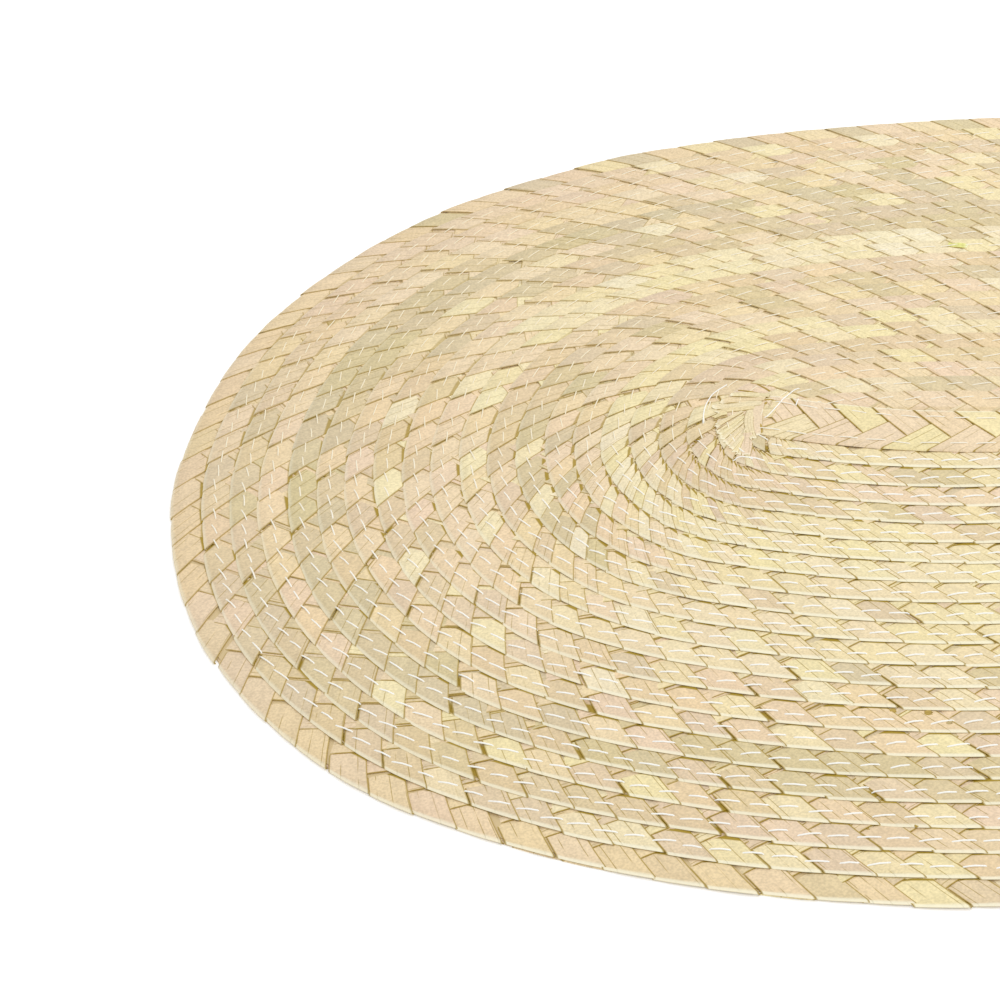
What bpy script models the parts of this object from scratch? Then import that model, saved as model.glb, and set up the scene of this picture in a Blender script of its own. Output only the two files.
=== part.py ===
"""Oval table mat of plaited palm leaf, lying flat.

One long flat plait is wound round its own first straight stretch, clockwise seen from above. Each turn's
outer edge lies on the inner part of the next turn, so the top shows shingled rows with a small lip at
the outer edge of each, and the underside is flat. The straight stretch in the middle lies on top along
both of its edges.
"""

import math

import bmesh
import bpy
from mathutils import Vector

# Driving dimensions, in metres. The rows are a little closer together behind the middle than in front.
ROW_PITCH_FRONT = 0.0082
ROW_PITCH_BACK = 0.00735
ROW_PITCH_SWELL = 0.00012
CORE_HALF_LENGTH = 0.0480
CORE_BOW = 0.0066
CORE_FRONT_EDGE = 0.0050
STRIP_SHARE = 0.68
LIP_TOP = 0.0022
LIP_DROP = 0.0010
LIP_LEAN = 0.0005
RIM_HEIGHT = 0.0010

# How the plait is wound. A turn starts at the right tip and gains one row pitch.
WHOLE_TURNS = 21
STATIONS_AT_TIP = 24
STATIONS_AT_SIDE = 16
GAIN_AT_TIP = 0.5

# The plait's tail narrows to nothing between these directions of its last turn, at the right end.
TAIL_START = math.radians(298)
TAIL_END = math.radians(346)

# The rows stand a little further back round this place, where the plait first turns back.
SHOULDER_PLACE = Vector((-0.049, 0.0123))
SHOULDER_PUSH = 0.0049
SHOULDER_WIDTH = 0.0246
SHOULDER_REACH_BACK = 0.0205
SHOULDER_REACH_FRONT = 0.0082

# The outline's unevenness: how many waves round the mat, their depth in metres, and where they peak.
OUTLINE_WAVES = (
    {"waves": 2, "depth": 0.00030, "peak": math.radians(279)},
    {"waves": 5, "depth": 0.00036, "peak": math.radians(355)},
    {"waves": 12, "depth": 0.00022, "peak": math.radians(11)},
    {"waves": 14, "depth": 0.00030, "peak": math.radians(-6)},
)
ROW_WAVES = 9
ROW_WAVE_DEPTH = 0.00018
ROW_WAVE_SHIFT = 2.1

STRAW_COLOUR = (0.77, 0.63, 0.40, 1.0)
STRAW_ROUGHNESS = 0.6

# The core's outline is two shallow arcs that meet at its left and right tips.
SIDE_RADIUS = (CORE_HALF_LENGTH**2 + CORE_BOW**2) / (2 * CORE_BOW)
SIDE_CENTRE = SIDE_RADIUS - CORE_BOW
SIDE_TURN = math.asin(CORE_HALF_LENGTH / SIDE_RADIUS)

# Directions are measured clockwise from the right tip.
FULL_TURN = 2 * math.pi
FRONT = 0.5 * math.pi
LEFT_TIP = math.pi
BACK = 1.5 * math.pi
PER_TURN = 2 * (STATIONS_AT_TIP + STATIONS_AT_SIDE)


def spans_of_a_turn():
    """The stretches of one turn from the right tip: start and end direction, steps, pitches gained."""
    half_tip = STATIONS_AT_TIP // 2
    return (
        (0.0, FRONT - SIDE_TURN, half_tip, GAIN_AT_TIP / 2),
        (FRONT - SIDE_TURN, FRONT + SIDE_TURN, STATIONS_AT_SIDE, 0.0),
        (FRONT + SIDE_TURN, BACK - SIDE_TURN, STATIONS_AT_TIP, GAIN_AT_TIP),
        (BACK - SIDE_TURN, BACK + SIDE_TURN, STATIONS_AT_SIDE, 0.0),
        (BACK + SIDE_TURN, FULL_TURN, half_tip, GAIN_AT_TIP / 2),
    )


def stations_of_a_turn():
    """The stations of one turn, each with the direction that it faces and the pitches gained so far."""
    stations = []
    gained = -GAIN_AT_TIP / 2
    for start, end, steps, gain in spans_of_a_turn():
        for step in range(steps):
            share = step / steps
            stations.append((start + (end - start) * share, gained + gain * share))
        gained += gain
    return stations


def front_share(direction):
    """One along the front, none along the back, and in between round the tips."""
    from_front = abs(direction - FRONT)
    from_front = min(from_front, FULL_TURN - from_front)
    share = (LEFT_TIP - SIDE_TURN - from_front) / (LEFT_TIP - 2 * SIDE_TURN)
    return min(1.0, max(0.0, share))


def row_pitch(direction):
    """The distance between one row's edge and the next, where the core's outline faces a direction."""
    front = front_share(direction)
    even = ROW_PITCH_BACK + (ROW_PITCH_FRONT - ROW_PITCH_BACK) * front
    return even + ROW_PITCH_SWELL * 4 * front * (1 - front)


def core_centre(direction):
    """The centre and radius of the arc that the core's outline follows where it faces a direction."""
    if abs(direction - FRONT) < SIDE_TURN:
        return Vector((0, SIDE_CENTRE)), SIDE_RADIUS
    if abs(direction - BACK) < SIDE_TURN:
        return Vector((0, -SIDE_CENTRE)), SIDE_RADIUS
    side = 1 if math.cos(direction) > 0 else -1
    return Vector((side * CORE_HALF_LENGTH, 0)), 0.0


def plan_point(direction, offset):
    """The point at an offset outside the core's outline, where that outline faces a direction."""
    centre, radius = core_centre(direction)
    outwards = Vector((math.cos(direction), -math.sin(direction)))
    return pushed_back(centre + (radius + offset) * outwards)


def pushed_back(point):
    """A plan point with the shoulder's push, which fades with the distance from the shoulder."""
    away = point - SHOULDER_PLACE
    reach = SHOULDER_REACH_BACK if away.y > 0 else SHOULDER_REACH_FRONT
    fade = math.exp(-((away.x / SHOULDER_WIDTH) ** 2 + (away.y / reach) ** 2) / 2)
    return point + Vector((0, SHOULDER_PUSH * fade))


def unevenness(direction, turn):
    """How far a row's edge strays from its even curve; the outer rows follow the outline's waves."""
    outline = sum(
        wave["depth"] * math.cos(wave["waves"] * (direction - wave["peak"]))
        for wave in OUTLINE_WAVES
    )
    row = ROW_WAVE_DEPTH * math.sin(ROW_WAVES * direction + ROW_WAVE_SHIFT * turn)
    settled = min(1.0, turn / 2)
    return settled * (outline * (turn / WHOLE_TURNS) ** 2 + row)


def tail_share(direction, turn):
    """How much of the last row's width is left: one along its length, falling to nothing in the tail."""
    if turn < WHOLE_TURNS:
        return 1.0
    share = (TAIL_END - direction) / (TAIL_END - TAIL_START)
    share = min(1.0, max(0.0, share))
    return share * share * (3 - 2 * share)


def edge_offset(direction, gained, turn):
    """How far outside the core a turn's outer edge runs at a station."""
    even = CORE_FRONT_EDGE + turn * row_pitch(direction) + gained * ROW_PITCH_FRONT
    missing = row_pitch(direction) * (1 - tail_share(direction, turn))
    return even - missing + unevenness(direction, turn)


def wound_stations():
    """Every station along the plait's outer edge: its direction and its offset."""
    one_turn = stations_of_a_turn()
    stations = []
    for turn in range(WHOLE_TURNS + 1):
        for direction, gained in one_turn:
            if turn == WHOLE_TURNS and direction > TAIL_END:
                return stations
            stations.append((direction, edge_offset(direction, gained, turn)))
    return stations


def lip_points(stations):
    """The top and the foot of the lip at every station; the last turn's foot is on the underside."""
    outer_start = len(stations) - 1 - PER_TURN
    tops = []
    feet = []
    for index, (direction, offset) in enumerate(stations):
        outermost = index >= outer_start
        top_height = RIM_HEIGHT if outermost else LIP_TOP
        foot_height = 0.0 if outermost else LIP_TOP - LIP_DROP
        foot = plan_point(direction, offset)
        top = plan_point(direction, offset - LIP_LEAN)
        tops.append(Vector((top.x, top.y, top_height)))
        feet.append(Vector((foot.x, foot.y, foot_height)))
    return tops, feet


def add_face(shape, corners):
    """A face through the corners in order, with a corner that is named twice taken once."""
    shape.faces.new(dict.fromkeys(corners))


def add_middle(shape, top):
    """The straight stretch in the middle, the lip along its back edge, and the row behind it."""
    half = PER_TURN // 2
    edge_top = [top[0]]
    edge_foot = [top[0]]
    for near in range(1, half):
        across = top[PER_TURN - near].co - top[near].co
        share = STRIP_SHARE * min(1.0, near / 3)
        place = top[near].co + across * share
        foot_place = place + across.normalized() * LIP_LEAN
        foot_place.z -= LIP_DROP
        edge_top.append(shape.verts.new(place))
        edge_foot.append(shape.verts.new(foot_place))
    edge_top.append(top[half])
    edge_foot.append(top[half])
    for near in range(half):
        far = PER_TURN - near
        add_face(shape, (top[near], top[near + 1], edge_top[near + 1], edge_top[near]))
        add_face(shape, (edge_top[near], edge_top[near + 1], edge_foot[near + 1], edge_foot[near]))
        add_face(shape, (edge_foot[near], edge_foot[near + 1], top[far - 1], top[far]))


def mat_mesh():
    """The whole mat as one closed mesh: the middle, the wound rows with their lips, and the underside."""
    tops, feet = lip_points(wound_stations())
    last = len(tops) - 1
    outer_start = last - PER_TURN
    shape = bmesh.new()
    foot = [shape.verts.new(point) for point in feet[:last]]
    foot.append(foot[outer_start])
    top = [foot[0]] + [shape.verts.new(point) for point in tops[1:last]] + [foot[last]]
    foot[0].co.z = LIP_TOP

    add_middle(shape, top)
    for index in range(last):
        add_face(shape, (top[index], foot[index], foot[index + 1], top[index + 1]))
    for index in range(PER_TURN, last):
        inner = index - PER_TURN
        add_face(shape, (top[index], top[index + 1], foot[inner + 1], foot[inner]))
    add_face(shape, foot[outer_start:last])

    centre_on_origin(shape)
    bmesh.ops.recalc_face_normals(shape, faces=shape.faces)
    mesh = bpy.data.meshes.new("palm_mat")
    shape.to_mesh(mesh)
    shape.free()
    return mesh


def centre_on_origin(shape):
    """Shift a mesh in plan so that the middle of its outline is the origin."""
    for axis in range(2):
        places = [vert.co[axis] for vert in shape.verts]
        middle = (min(places) + max(places)) / 2
        for vert in shape.verts:
            vert.co[axis] -= middle


def straw_material():
    """Dry palm leaf."""
    material = bpy.data.materials.new("palm_leaf")
    material.use_nodes = True
    shader = material.node_tree.nodes["Principled BSDF"]
    shader.inputs["Base Color"].default_value = STRAW_COLOUR
    shader.inputs["Roughness"].default_value = STRAW_ROUGHNESS
    shader.inputs["Metallic"].default_value = 0.0
    return material


def build():
    """Clear the scene and make the mat."""
    for old in list(bpy.data.objects):
        bpy.data.objects.remove(old, do_unlink=True)
    collection = bpy.data.collections.new("palm_fibre_table_mat")
    bpy.context.scene.collection.children.link(collection)
    mesh = mat_mesh()
    mesh.materials.append(straw_material())
    mat = bpy.data.objects.new("palm_mat", mesh)
    collection.objects.link(mat)


build()
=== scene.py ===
"""Oval table mat of plaited palm leaf, dressed strand by strand.

A flat plait of three leaf strips is made as one repeating unit, laid out along a straight line, and then
wound onto the mat's spiral. The same unit makes the short straight strip in the middle. White running
stitches follow every row but the outermost. All sizes are in metres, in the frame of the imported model.
"""

import logging
import math
import random
from dataclasses import dataclass, field
from enum import Enum
from typing import Iterable, Sequence

import bmesh
import bpy
import numpy as np
from mathutils import Euler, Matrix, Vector
from mathutils.bvhtree import BVHTree


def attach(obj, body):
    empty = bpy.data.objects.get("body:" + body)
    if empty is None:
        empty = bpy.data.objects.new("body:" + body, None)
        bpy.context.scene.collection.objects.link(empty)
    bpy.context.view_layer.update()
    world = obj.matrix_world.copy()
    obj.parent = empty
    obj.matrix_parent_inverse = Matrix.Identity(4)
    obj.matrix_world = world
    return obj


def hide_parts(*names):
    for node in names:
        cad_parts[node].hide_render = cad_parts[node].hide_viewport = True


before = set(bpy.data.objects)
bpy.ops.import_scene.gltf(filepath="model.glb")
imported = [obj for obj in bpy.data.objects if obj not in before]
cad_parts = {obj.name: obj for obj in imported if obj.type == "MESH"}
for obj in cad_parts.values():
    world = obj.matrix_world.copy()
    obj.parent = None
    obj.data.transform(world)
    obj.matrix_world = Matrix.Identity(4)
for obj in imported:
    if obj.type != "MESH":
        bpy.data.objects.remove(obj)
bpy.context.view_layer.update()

LOG = logging.getLogger("palm_mat")

NODE = "palm_mat"
BODY = "root"

# Directions are measured clockwise from the right tip.
FULL_TURN = 2 * math.pi
FRONT = 0.5 * math.pi
LEFT_TIP = math.pi
BACK = 1.5 * math.pi

# The distance from one station of a path to the next.
STEP = 0.0005

# A strip of leaf crosses the plait in this many pitches, and comes back in as many.
LEG_PITCHES = 1.5

# Each form of a repeated unit comes in a few variants, which differ in the small.
VARIANTS = 4
VARIANTS_SEED = 3

# Edges that turn by more than this are shaded sharp.
SHARP_ANGLE = math.radians(48)

# Millimetres in a metre.
MILLIMETRES = 1000

Span = tuple[float, float]
Triple = tuple[float, float, float]
Colour = tuple[float, float, float, float]
Socket = bpy.types.NodeSocket
Shape = bmesh.types.BMesh
Vert = bmesh.types.BMVert


def smooth_step(low: float, high: float, value: float) -> float:
    """Nothing below one value, one above the other, and a smooth rise between.

    Args:
        low: Where the rise starts.
        high: Where it ends.
        value: The value that is tested.

    Returns:
        The share of the rise, from 0 to 1.
    """
    share = min(1.0, max(0.0, (value - low) / (high - low)))
    return share * share * (3 - 2 * share)


@dataclass(frozen=True)
class Station:
    """A place on a plait's outer edge.

    Attributes:
        point: Its place in plan.
        inward: The unit vector from it towards the plait's other edge.
        lift: How high the edge lies over the surface, because it rests on the next row.
        span: How far inwards the plait comes down to the surface again.
        room: How far inwards the plait can reach before a tight bend stops it.
        turn: The number of whole turns before it.
        direction: Clockwise from the right tip, the direction that the edge faces.
    """

    point: Vector
    inward: Vector
    lift: float
    span: float = 1.0
    room: float = 1.0
    turn: int = 0
    direction: float = 0.0


@dataclass
class Winding:
    """The mat's plan: a plait wound clockwise round two shallow arcs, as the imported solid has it."""

    pitch_front: float = 0.0082
    pitch_back: float = 0.00735
    pitch_swell: float = 0.00012
    core_half_length: float = 0.0480
    core_bow: float = 0.0066
    front_edge: float = 0.0050
    whole_turns: int = 21
    gain_at_tip: float = 0.5
    tail_start: float = math.radians(298)
    tail_end: float = math.radians(346)
    shoulder: Vector = field(default_factory=lambda: Vector((-0.049, 0.0123)))
    shoulder_push: float = 0.0049
    shoulder_width: float = 0.0246
    shoulder_reach_back: float = 0.0205
    shoulder_reach_front: float = 0.0082
    row_lift: float = 0.00057
    back_lift_share: float = 0.45
    first_turns: Span = (5.0, 11.0)
    first_turns_share: float = 0.70
    span_in_pitches: float = 1.15
    room_in_radii: float = 0.93
    stations_per_turn: int = 320
    rim_points: int = 720
    bend_reach: int = 16
    outline_waves: Sequence[tuple[int, float, float]] = (
        (2, 0.00030, math.radians(279)),
        (5, 0.00036, math.radians(355)),
        (12, 0.00022, math.radians(11)),
        (14, 0.00030, math.radians(-6)),
    )
    row_waves: int = 9
    row_wave_depth: float = 0.00018
    row_wave_shift: float = 2.1

    def __post_init__(self) -> None:
        """Work out the core's arcs, and the middle of the outline, which is the frame's origin."""
        self.side_radius = (self.core_half_length**2 + self.core_bow**2) / (2 * self.core_bow)
        self.side_centre = self.side_radius - self.core_bow
        self.side_turn = math.asin(self.core_half_length / self.side_radius)
        self.middle = Vector((0.0, 0.0))
        shares = [i / self.rim_points for i in range(self.rim_points)]
        rim = [self.edge_point(self.whole_turns, share * self.tail_start) for share in shares]
        rim += [self.edge_point(self.whole_turns - 1, share * FULL_TURN) for share in shares]
        low = Vector((min(p.x for p in rim), min(p.y for p in rim)))
        high = Vector((max(p.x for p in rim), max(p.y for p in rim)))
        self.middle = (low + high) / 2

    def front_share(self, direction: float) -> float:
        """One along the front, none along the back, and in between round the tips.

        Args:
            direction: The direction, clockwise from the right tip.

        Returns:
            The share, from 0 to 1.
        """
        from_front = abs(direction - FRONT)
        from_front = min(from_front, FULL_TURN - from_front)
        share = (LEFT_TIP - self.side_turn - from_front) / (LEFT_TIP - 2 * self.side_turn)
        return min(1.0, max(0.0, share))

    def row_pitch(self, direction: float) -> float:
        """The distance between one row's edge and the next in a direction.

        Args:
            direction: The direction, clockwise from the right tip.

        Returns:
            The distance.
        """
        front = self.front_share(direction)
        even = self.pitch_back + (self.pitch_front - self.pitch_back) * front
        return even + self.pitch_swell * 4 * front * (1 - front)

    def gained(self, direction: float) -> float:
        """The pitches gained in a turn so far: half a pitch round each tip, none along the sides.

        Args:
            direction: The direction, clockwise from the right tip.

        Returns:
            The gain in pitches: none along the front, and less than nothing before it.
        """
        bend = math.pi - 2 * self.side_turn
        first = min(direction, FRONT - self.side_turn) / bend
        left = min(max(direction - FRONT - self.side_turn, 0.0), bend) / bend
        last = max(direction - BACK - self.side_turn, 0.0) / bend
        return self.gain_at_tip * (first + left + last - 0.5)

    def tail_share(self, turn: int, direction: float) -> float:
        """How much of the last row's width is left, falling to nothing in the tail.

        Args:
            turn: The number of the turn.
            direction: The direction, clockwise from the right tip.

        Returns:
            The share, from 0 to 1.
        """
        if turn < self.whole_turns:
            return 1.0
        return 1 - smooth_step(self.tail_start, self.tail_end, direction)

    def lip_share(self, turn: int, direction: float) -> float:
        """How high a row's outer edge stands: fully in front, lower behind but for the first turns.

        Args:
            turn: The number of the turn.
            direction: The direction, clockwise from the right tip.

        Returns:
            The share of the full height, from 0 to 1.
        """
        first = self.first_turns_share * (1 - smooth_step(*self.first_turns, turn))
        raised = max(self.front_share(direction) ** 2, first)
        return self.back_lift_share + (1 - self.back_lift_share) * raised

    def unevenness(self, turn: int, direction: float) -> float:
        """How far a row's edge strays from its even curve.

        Args:
            turn: The number of the turn.
            direction: The direction, clockwise from the right tip.

        Returns:
            The distance, outwards.
        """
        outline = sum(
            depth * math.cos(waves * (direction - peak))
            for waves, depth, peak in self.outline_waves
        )
        row = self.row_wave_depth * math.sin(self.row_waves * direction + self.row_wave_shift * turn)
        settled = min(1.0, turn / 2)
        return settled * (outline * (turn / self.whole_turns) ** 2 + row)

    def offset(self, turn: int, direction: float) -> float:
        """How far outside the core a turn's outer edge runs in a direction.

        Args:
            turn: The number of the turn.
            direction: The direction, clockwise from the right tip.

        Returns:
            The distance.
        """
        pitch = self.row_pitch(direction)
        even = self.front_edge + turn * pitch + self.gained(direction) * self.pitch_front
        return even - pitch * (1 - self.tail_share(turn, direction)) + self.unevenness(turn, direction)

    def edge_point(self, turn: int, direction: float) -> Vector:
        """The place of a turn's outer edge in a direction, in the frame's plan.

        Args:
            turn: The number of the turn.
            direction: The direction, clockwise from the right tip.

        Returns:
            The place.
        """
        outwards = Vector((math.cos(direction), -math.sin(direction)))
        if abs(direction - FRONT) < self.side_turn:
            centre, radius = Vector((0, self.side_centre)), self.side_radius
        elif abs(direction - BACK) < self.side_turn:
            centre, radius = Vector((0, -self.side_centre)), self.side_radius
        else:
            centre, radius = Vector((math.copysign(self.core_half_length, outwards.x), 0)), 0.0
        point = centre + (radius + self.offset(turn, direction)) * outwards
        away = point - self.shoulder
        reach = self.shoulder_reach_back if away.y > 0 else self.shoulder_reach_front
        fade = math.exp(-((away.x / self.shoulder_width) ** 2 + (away.y / reach) ** 2) / 2)
        return point + Vector((0, self.shoulder_push * fade)) - self.middle

    def stations(self, start: float) -> list[Station]:
        """Stations at even steps along the outer edge, from a direction of the first turn outwards.

        Args:
            start: The direction of the first turn where the wound plait begins.

        Returns:
            The stations in the order of winding, one step of arc length apart.
        """
        marks: list[tuple[int, float]] = []
        for turn in range(self.whole_turns + 1):
            for part in range(self.stations_per_turn):
                direction = part / self.stations_per_turn * FULL_TURN
                if turn == 0 and direction < start:
                    continue
                if turn == self.whole_turns and direction > self.tail_end:
                    break
                marks.append((turn, direction))
        points = np.array([self.edge_point(*mark) for mark in marks])
        lengths = np.hypot(*np.diff(points, axis=0).T)
        along = np.concatenate(([0.0], np.cumsum(lengths)))
        even = np.arange(0, along[-1], STEP)
        winds = np.array([turn + direction / FULL_TURN for turn, direction in marks])
        wind = np.interp(even, along, winds)
        place = np.stack([np.interp(even, along, points[:, axis]) for axis in range(2)], axis=1)
        tangent = np.gradient(place, axis=0)
        tangent /= np.linalg.norm(tangent, axis=1)[:, None]
        bend = self.smoothed(np.array([self.bend(w) for w in wind]), self.bend_reach)
        return [
            self.station(place[i], tangent[i], float(wind[i]), float(bend[i]))
            for i in range(len(even))
        ]

    def bend(self, wind: float) -> float:
        """How tightly the edge bends: one over its radius.

        Args:
            wind: The turns wound before the place, with the part of a turn.

        Returns:
            The bend, per metre.
        """
        turn = int(wind)
        direction = (wind - turn) * FULL_TURN
        offset = self.offset(turn, direction)
        along_side = min(abs(direction - FRONT), abs(direction - BACK)) < self.side_turn
        return 1 / (self.side_radius + offset) if along_side else 1 / offset

    @staticmethod
    def smoothed(values: np.ndarray, reach: int) -> np.ndarray:
        """A row of values, each taken as the mean of its neighbours within reach.

        Args:
            values: The values.
            reach: How many neighbours on either side count.

        Returns:
            The smoothed values, as many as before.
        """
        padded = np.pad(values, reach, mode="edge")
        kernel = np.ones(2 * reach + 1) / (2 * reach + 1)
        return np.convolve(padded, kernel, mode="valid")

    def station(self, place: np.ndarray, tangent: np.ndarray, wind: float, bend: float) -> Station:
        """One station, with how the plait lies there.

        Args:
            place: Its place in plan.
            tangent: The unit vector along the winding.
            wind: The turns wound before it, with the part of a turn.
            bend: How tightly the edge bends there.

        Returns:
            The station.
        """
        turn = int(wind)
        direction = (wind - turn) * FULL_TURN
        open_from = self.whole_turns - 1 + self.tail_start / FULL_TURN
        open_to = self.whole_turns - 1 + self.tail_end / FULL_TURN
        on_next_row = 1 - smooth_step(open_from, open_to, wind)
        return Station(
            point=Vector(place),
            inward=Vector((tangent[1], -tangent[0])),
            lift=self.row_lift * self.lip_share(turn, direction) * on_next_row,
            span=self.row_pitch(direction) * self.span_in_pitches,
            room=self.room_in_radii / bend,
            turn=turn,
            direction=direction,
        )


def mesh_of(shape: Shape, name: str, smooth: bool = True) -> bpy.types.Mesh:
    """Turn a finished shape into a mesh, and free it.

    Args:
        shape: The shape.
        name: The mesh's name.
        smooth: Whether its faces are shaded smooth.

    Returns:
        The mesh.
    """
    for face in shape.faces:
        face.smooth = smooth
    mesh = bpy.data.meshes.new(name)
    shape.to_mesh(mesh)
    shape.free()
    return mesh


def add_tube(shape: Shape, rings: Sequence[Sequence[Vert]]) -> None:
    """Join rings of points to a closed tube with flat ends.

    Args:
        shape: The mesh that takes the faces.
        rings: The rings in order, with as many points in each.
    """
    count = len(rings[0])
    for first, second in zip(rings, rings[1:]):
        for k in range(count):
            after = (k + 1) % count
            shape.faces.new((first[k], first[after], second[after], second[k]))
    shape.faces.new(rings[0][::-1])
    shape.faces.new(rings[-1])


@dataclass
class StrandUnit:
    """One strip of leaf over three pitches of plait: out of the outer fold, across, and back again.

    Along the plait its unit is one pitch, across it the plait's width, and its height is in metres.
    """

    crossing: float
    half_width: float = 0.5
    leaf_thickness: float = 0.00024
    upper: float = 0.00062
    lower: float = 0.00019
    fold_radius: float = 0.022
    fold_rise: float = 0.00004
    leaning_from: float = 0.41
    first_lean: float = 0.45
    half_dip: float = 0.048
    crown: float = 0.00010
    crown_shares: Span = (0.4, 1.3)
    tilt: float = 0.00017
    tilt_shares: Span = (0.7, 1.3)
    lower_bulge: float = 0.3
    scallop: float = 0.007
    plait_width: float = 0.0168
    leaf_width: float = 0.0080
    leg_length: float = 0.0235
    way_back: float = 0.4
    across: Sequence[float] = (-1.0, -0.36, 0.36, 1.0)
    across_shift: Span = (-0.10, 0.10)

    def leg(self, crossing: float) -> list[Triple]:
        """One leg from its fold: share of the way across, height, and lean of the row.

        Args:
            crossing: The share of the way at which it goes under the other legs.

        Returns:
            The rows of the leg, starting at the middle of its fold.
        """
        return [
            (0.0, (self.upper + self.lower) / 2, 0.0),
            (self.fold_radius, self.upper + self.fold_rise, 0.0),
            (crossing * self.leaning_from, self.upper, self.first_lean),
            (crossing - self.half_dip, self.upper, 1.0),
            (crossing + self.half_dip, self.lower, 1.0),
            (1 - self.fold_radius, self.lower, 0.0),
        ]

    def lengths(self) -> list[float]:
        """Metres along the strip at each of its rows, from the middle of the outer fold.

        Returns:
            The lengths, less than nothing before the fold.
        """
        marks = [-2 * self.fold_radius]
        marks += [share for share, _, _ in self.leg(self.crossing)]
        marks += [1 + share for share, _, _ in self.leg(1 - self.crossing)]
        return [mark * self.leg_length for mark in marks]

    def centre_rows(self) -> list[tuple[float, float, float, float]]:
        """Both legs as rows: pitches along, share of the way across, height, and lean.

        Returns:
            The rows, from under the outer fold to the end of the way back.
        """
        rows = [(0.0, self.fold_radius, self.lower, 0.0)]
        for share, height, lean in self.leg(self.crossing):
            rows.append((LEG_PITCHES * share, share, height, lean))
        for share, height, lean in self.leg(1 - self.crossing):
            rows.append((LEG_PITCHES + LEG_PITCHES * share, 1 - share, height, lean))
        return rows

    def mesh(self, name: str, rng: random.Random) -> bpy.types.Mesh:
        """The unit's closed mesh, with small differences from unit to unit.

        Args:
            name: The mesh's name.
            rng: Where the differences come from.

        Returns:
            The mesh, with the UV map named leaf in metres along and across the strip.
        """
        rows = self.centre_rows()
        across = [c * self.half_width for c in self.across]
        across[1] += rng.uniform(*self.across_shift)
        across[2] += rng.uniform(*self.across_shift)
        crown = self.crown * rng.uniform(*self.crown_shares)
        tilt = self.tilt * rng.uniform(*self.tilt_shares)
        shape = bmesh.new()
        uv_layer = shape.loops.layers.uv.new("leaf")
        shape.verts.layers.float_vector.new("spread")
        shape.verts.layers.float.new("reach")
        sides = (across[0], across[-1])
        top = self.layer(shape, rows, across, 1, crown, tilt)
        bottom = self.layer(shape, rows, sides, -1, crown, tilt)
        for r in range(len(rows) - 1):
            for c in range(len(across) - 1):
                shape.faces.new((top[r][c], top[r][c + 1], top[r + 1][c + 1], top[r + 1][c]))
            shape.faces.new((bottom[r + 1][0], bottom[r + 1][1], bottom[r][1], bottom[r][0]))
            shape.faces.new((top[r][-1], bottom[r][1], bottom[r + 1][1], top[r + 1][-1]))
            shape.faces.new((top[r + 1][0], bottom[r + 1][0], bottom[r][0], top[r][0]))
        shape.faces.new([top[0][0], *bottom[0], *top[0][:0:-1]])
        shape.faces.new([top[-1][-1], bottom[-1][1], bottom[-1][0], *top[-1][:-1]])
        places = {}
        for grid, columns in ((top, across), (bottom, sides)):
            for length, line in zip(self.lengths(), grid):
                places.update((vert, (length, c * self.leaf_width)) for vert, c in zip(line, columns))
        for face in shape.faces:
            for loop in face.loops:
                loop[uv_layer].uv = places[loop.vert]
        return mesh_of(shape, name)

    def layer(
        self,
        shape: Shape,
        rows: Sequence[tuple[float, float, float, float]],
        across: Sequence[float],
        side: int,
        crown: float,
        tilt: float,
    ) -> list[list[Vert]]:
        """One face of the strip as a grid of points.

        Args:
            shape: The mesh that takes the points.
            rows: The strip's centre rows.
            across: The points' places across the strip, in pitches.
            side: 1 or -1 for the face.
            crown: How far the strip's middle stands over its edges.
            tilt: How far one edge stands over the middle, and the other under it.

        Returns:
            The grid's points, row by row.
        """
        spread = shape.verts.layers.float_vector["spread"]
        reach = shape.verts.layers.float["reach"]
        middle = (self.upper + self.lower) / 2
        grid = []
        for i, (along, share, height, lean) in enumerate(rows):
            before, after = rows[max(i - 1, 0)], rows[min(i + 1, len(rows) - 1)]
            run = (after[1] - before[1]) * self.plait_width
            climb = after[2] - before[2]
            length = math.hypot(run, climb)
            normal_across = -climb / length / self.plait_width
            normal_up = run / length
            outwards = 1 if along <= LEG_PITCHES else -1
            scallop = self.scallop if share < 2 * self.fold_radius else 0.0
            line = []
            for c in across:
                arch = 1 - (c / self.half_width) ** 2
                bulge = arch * crown - c * tilt
                if height < middle:
                    bulge *= self.lower_bulge
                aside = c * (1 - lean / 2)
                slide = -c / 3 * lean * outwards
                sunk = share + slide - scallop * arch
                place = (
                    along + aside,
                    sunk + side * normal_across * self.leaf_thickness / 2,
                    height + bulge + side * normal_up * self.leaf_thickness / 2,
                )
                vert = shape.verts.new(place)
                vert[spread] = (aside, slide, 0.0)
                # reach tells the material where to paint the shade under the next row's edge; on the way
                # back it is squeezed towards way_back.
                past = share + slide
                vert[reach] = past if outwards > 0 else self.way_back + (past - self.way_back) / 2
                line.append(vert)
            grid.append(line)
        return grid


class Finish(Enum):
    """The finishes of the mat and of its surroundings."""

    LEAF = "palm_leaf_strip"
    INNER_LEAF = "palm_leaf_inside"
    OPEN_LEAF = "palm_leaf_strip_on_top"
    THREAD = "white_cotton_thread"
    FLOOR = "pale_floor"


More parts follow.
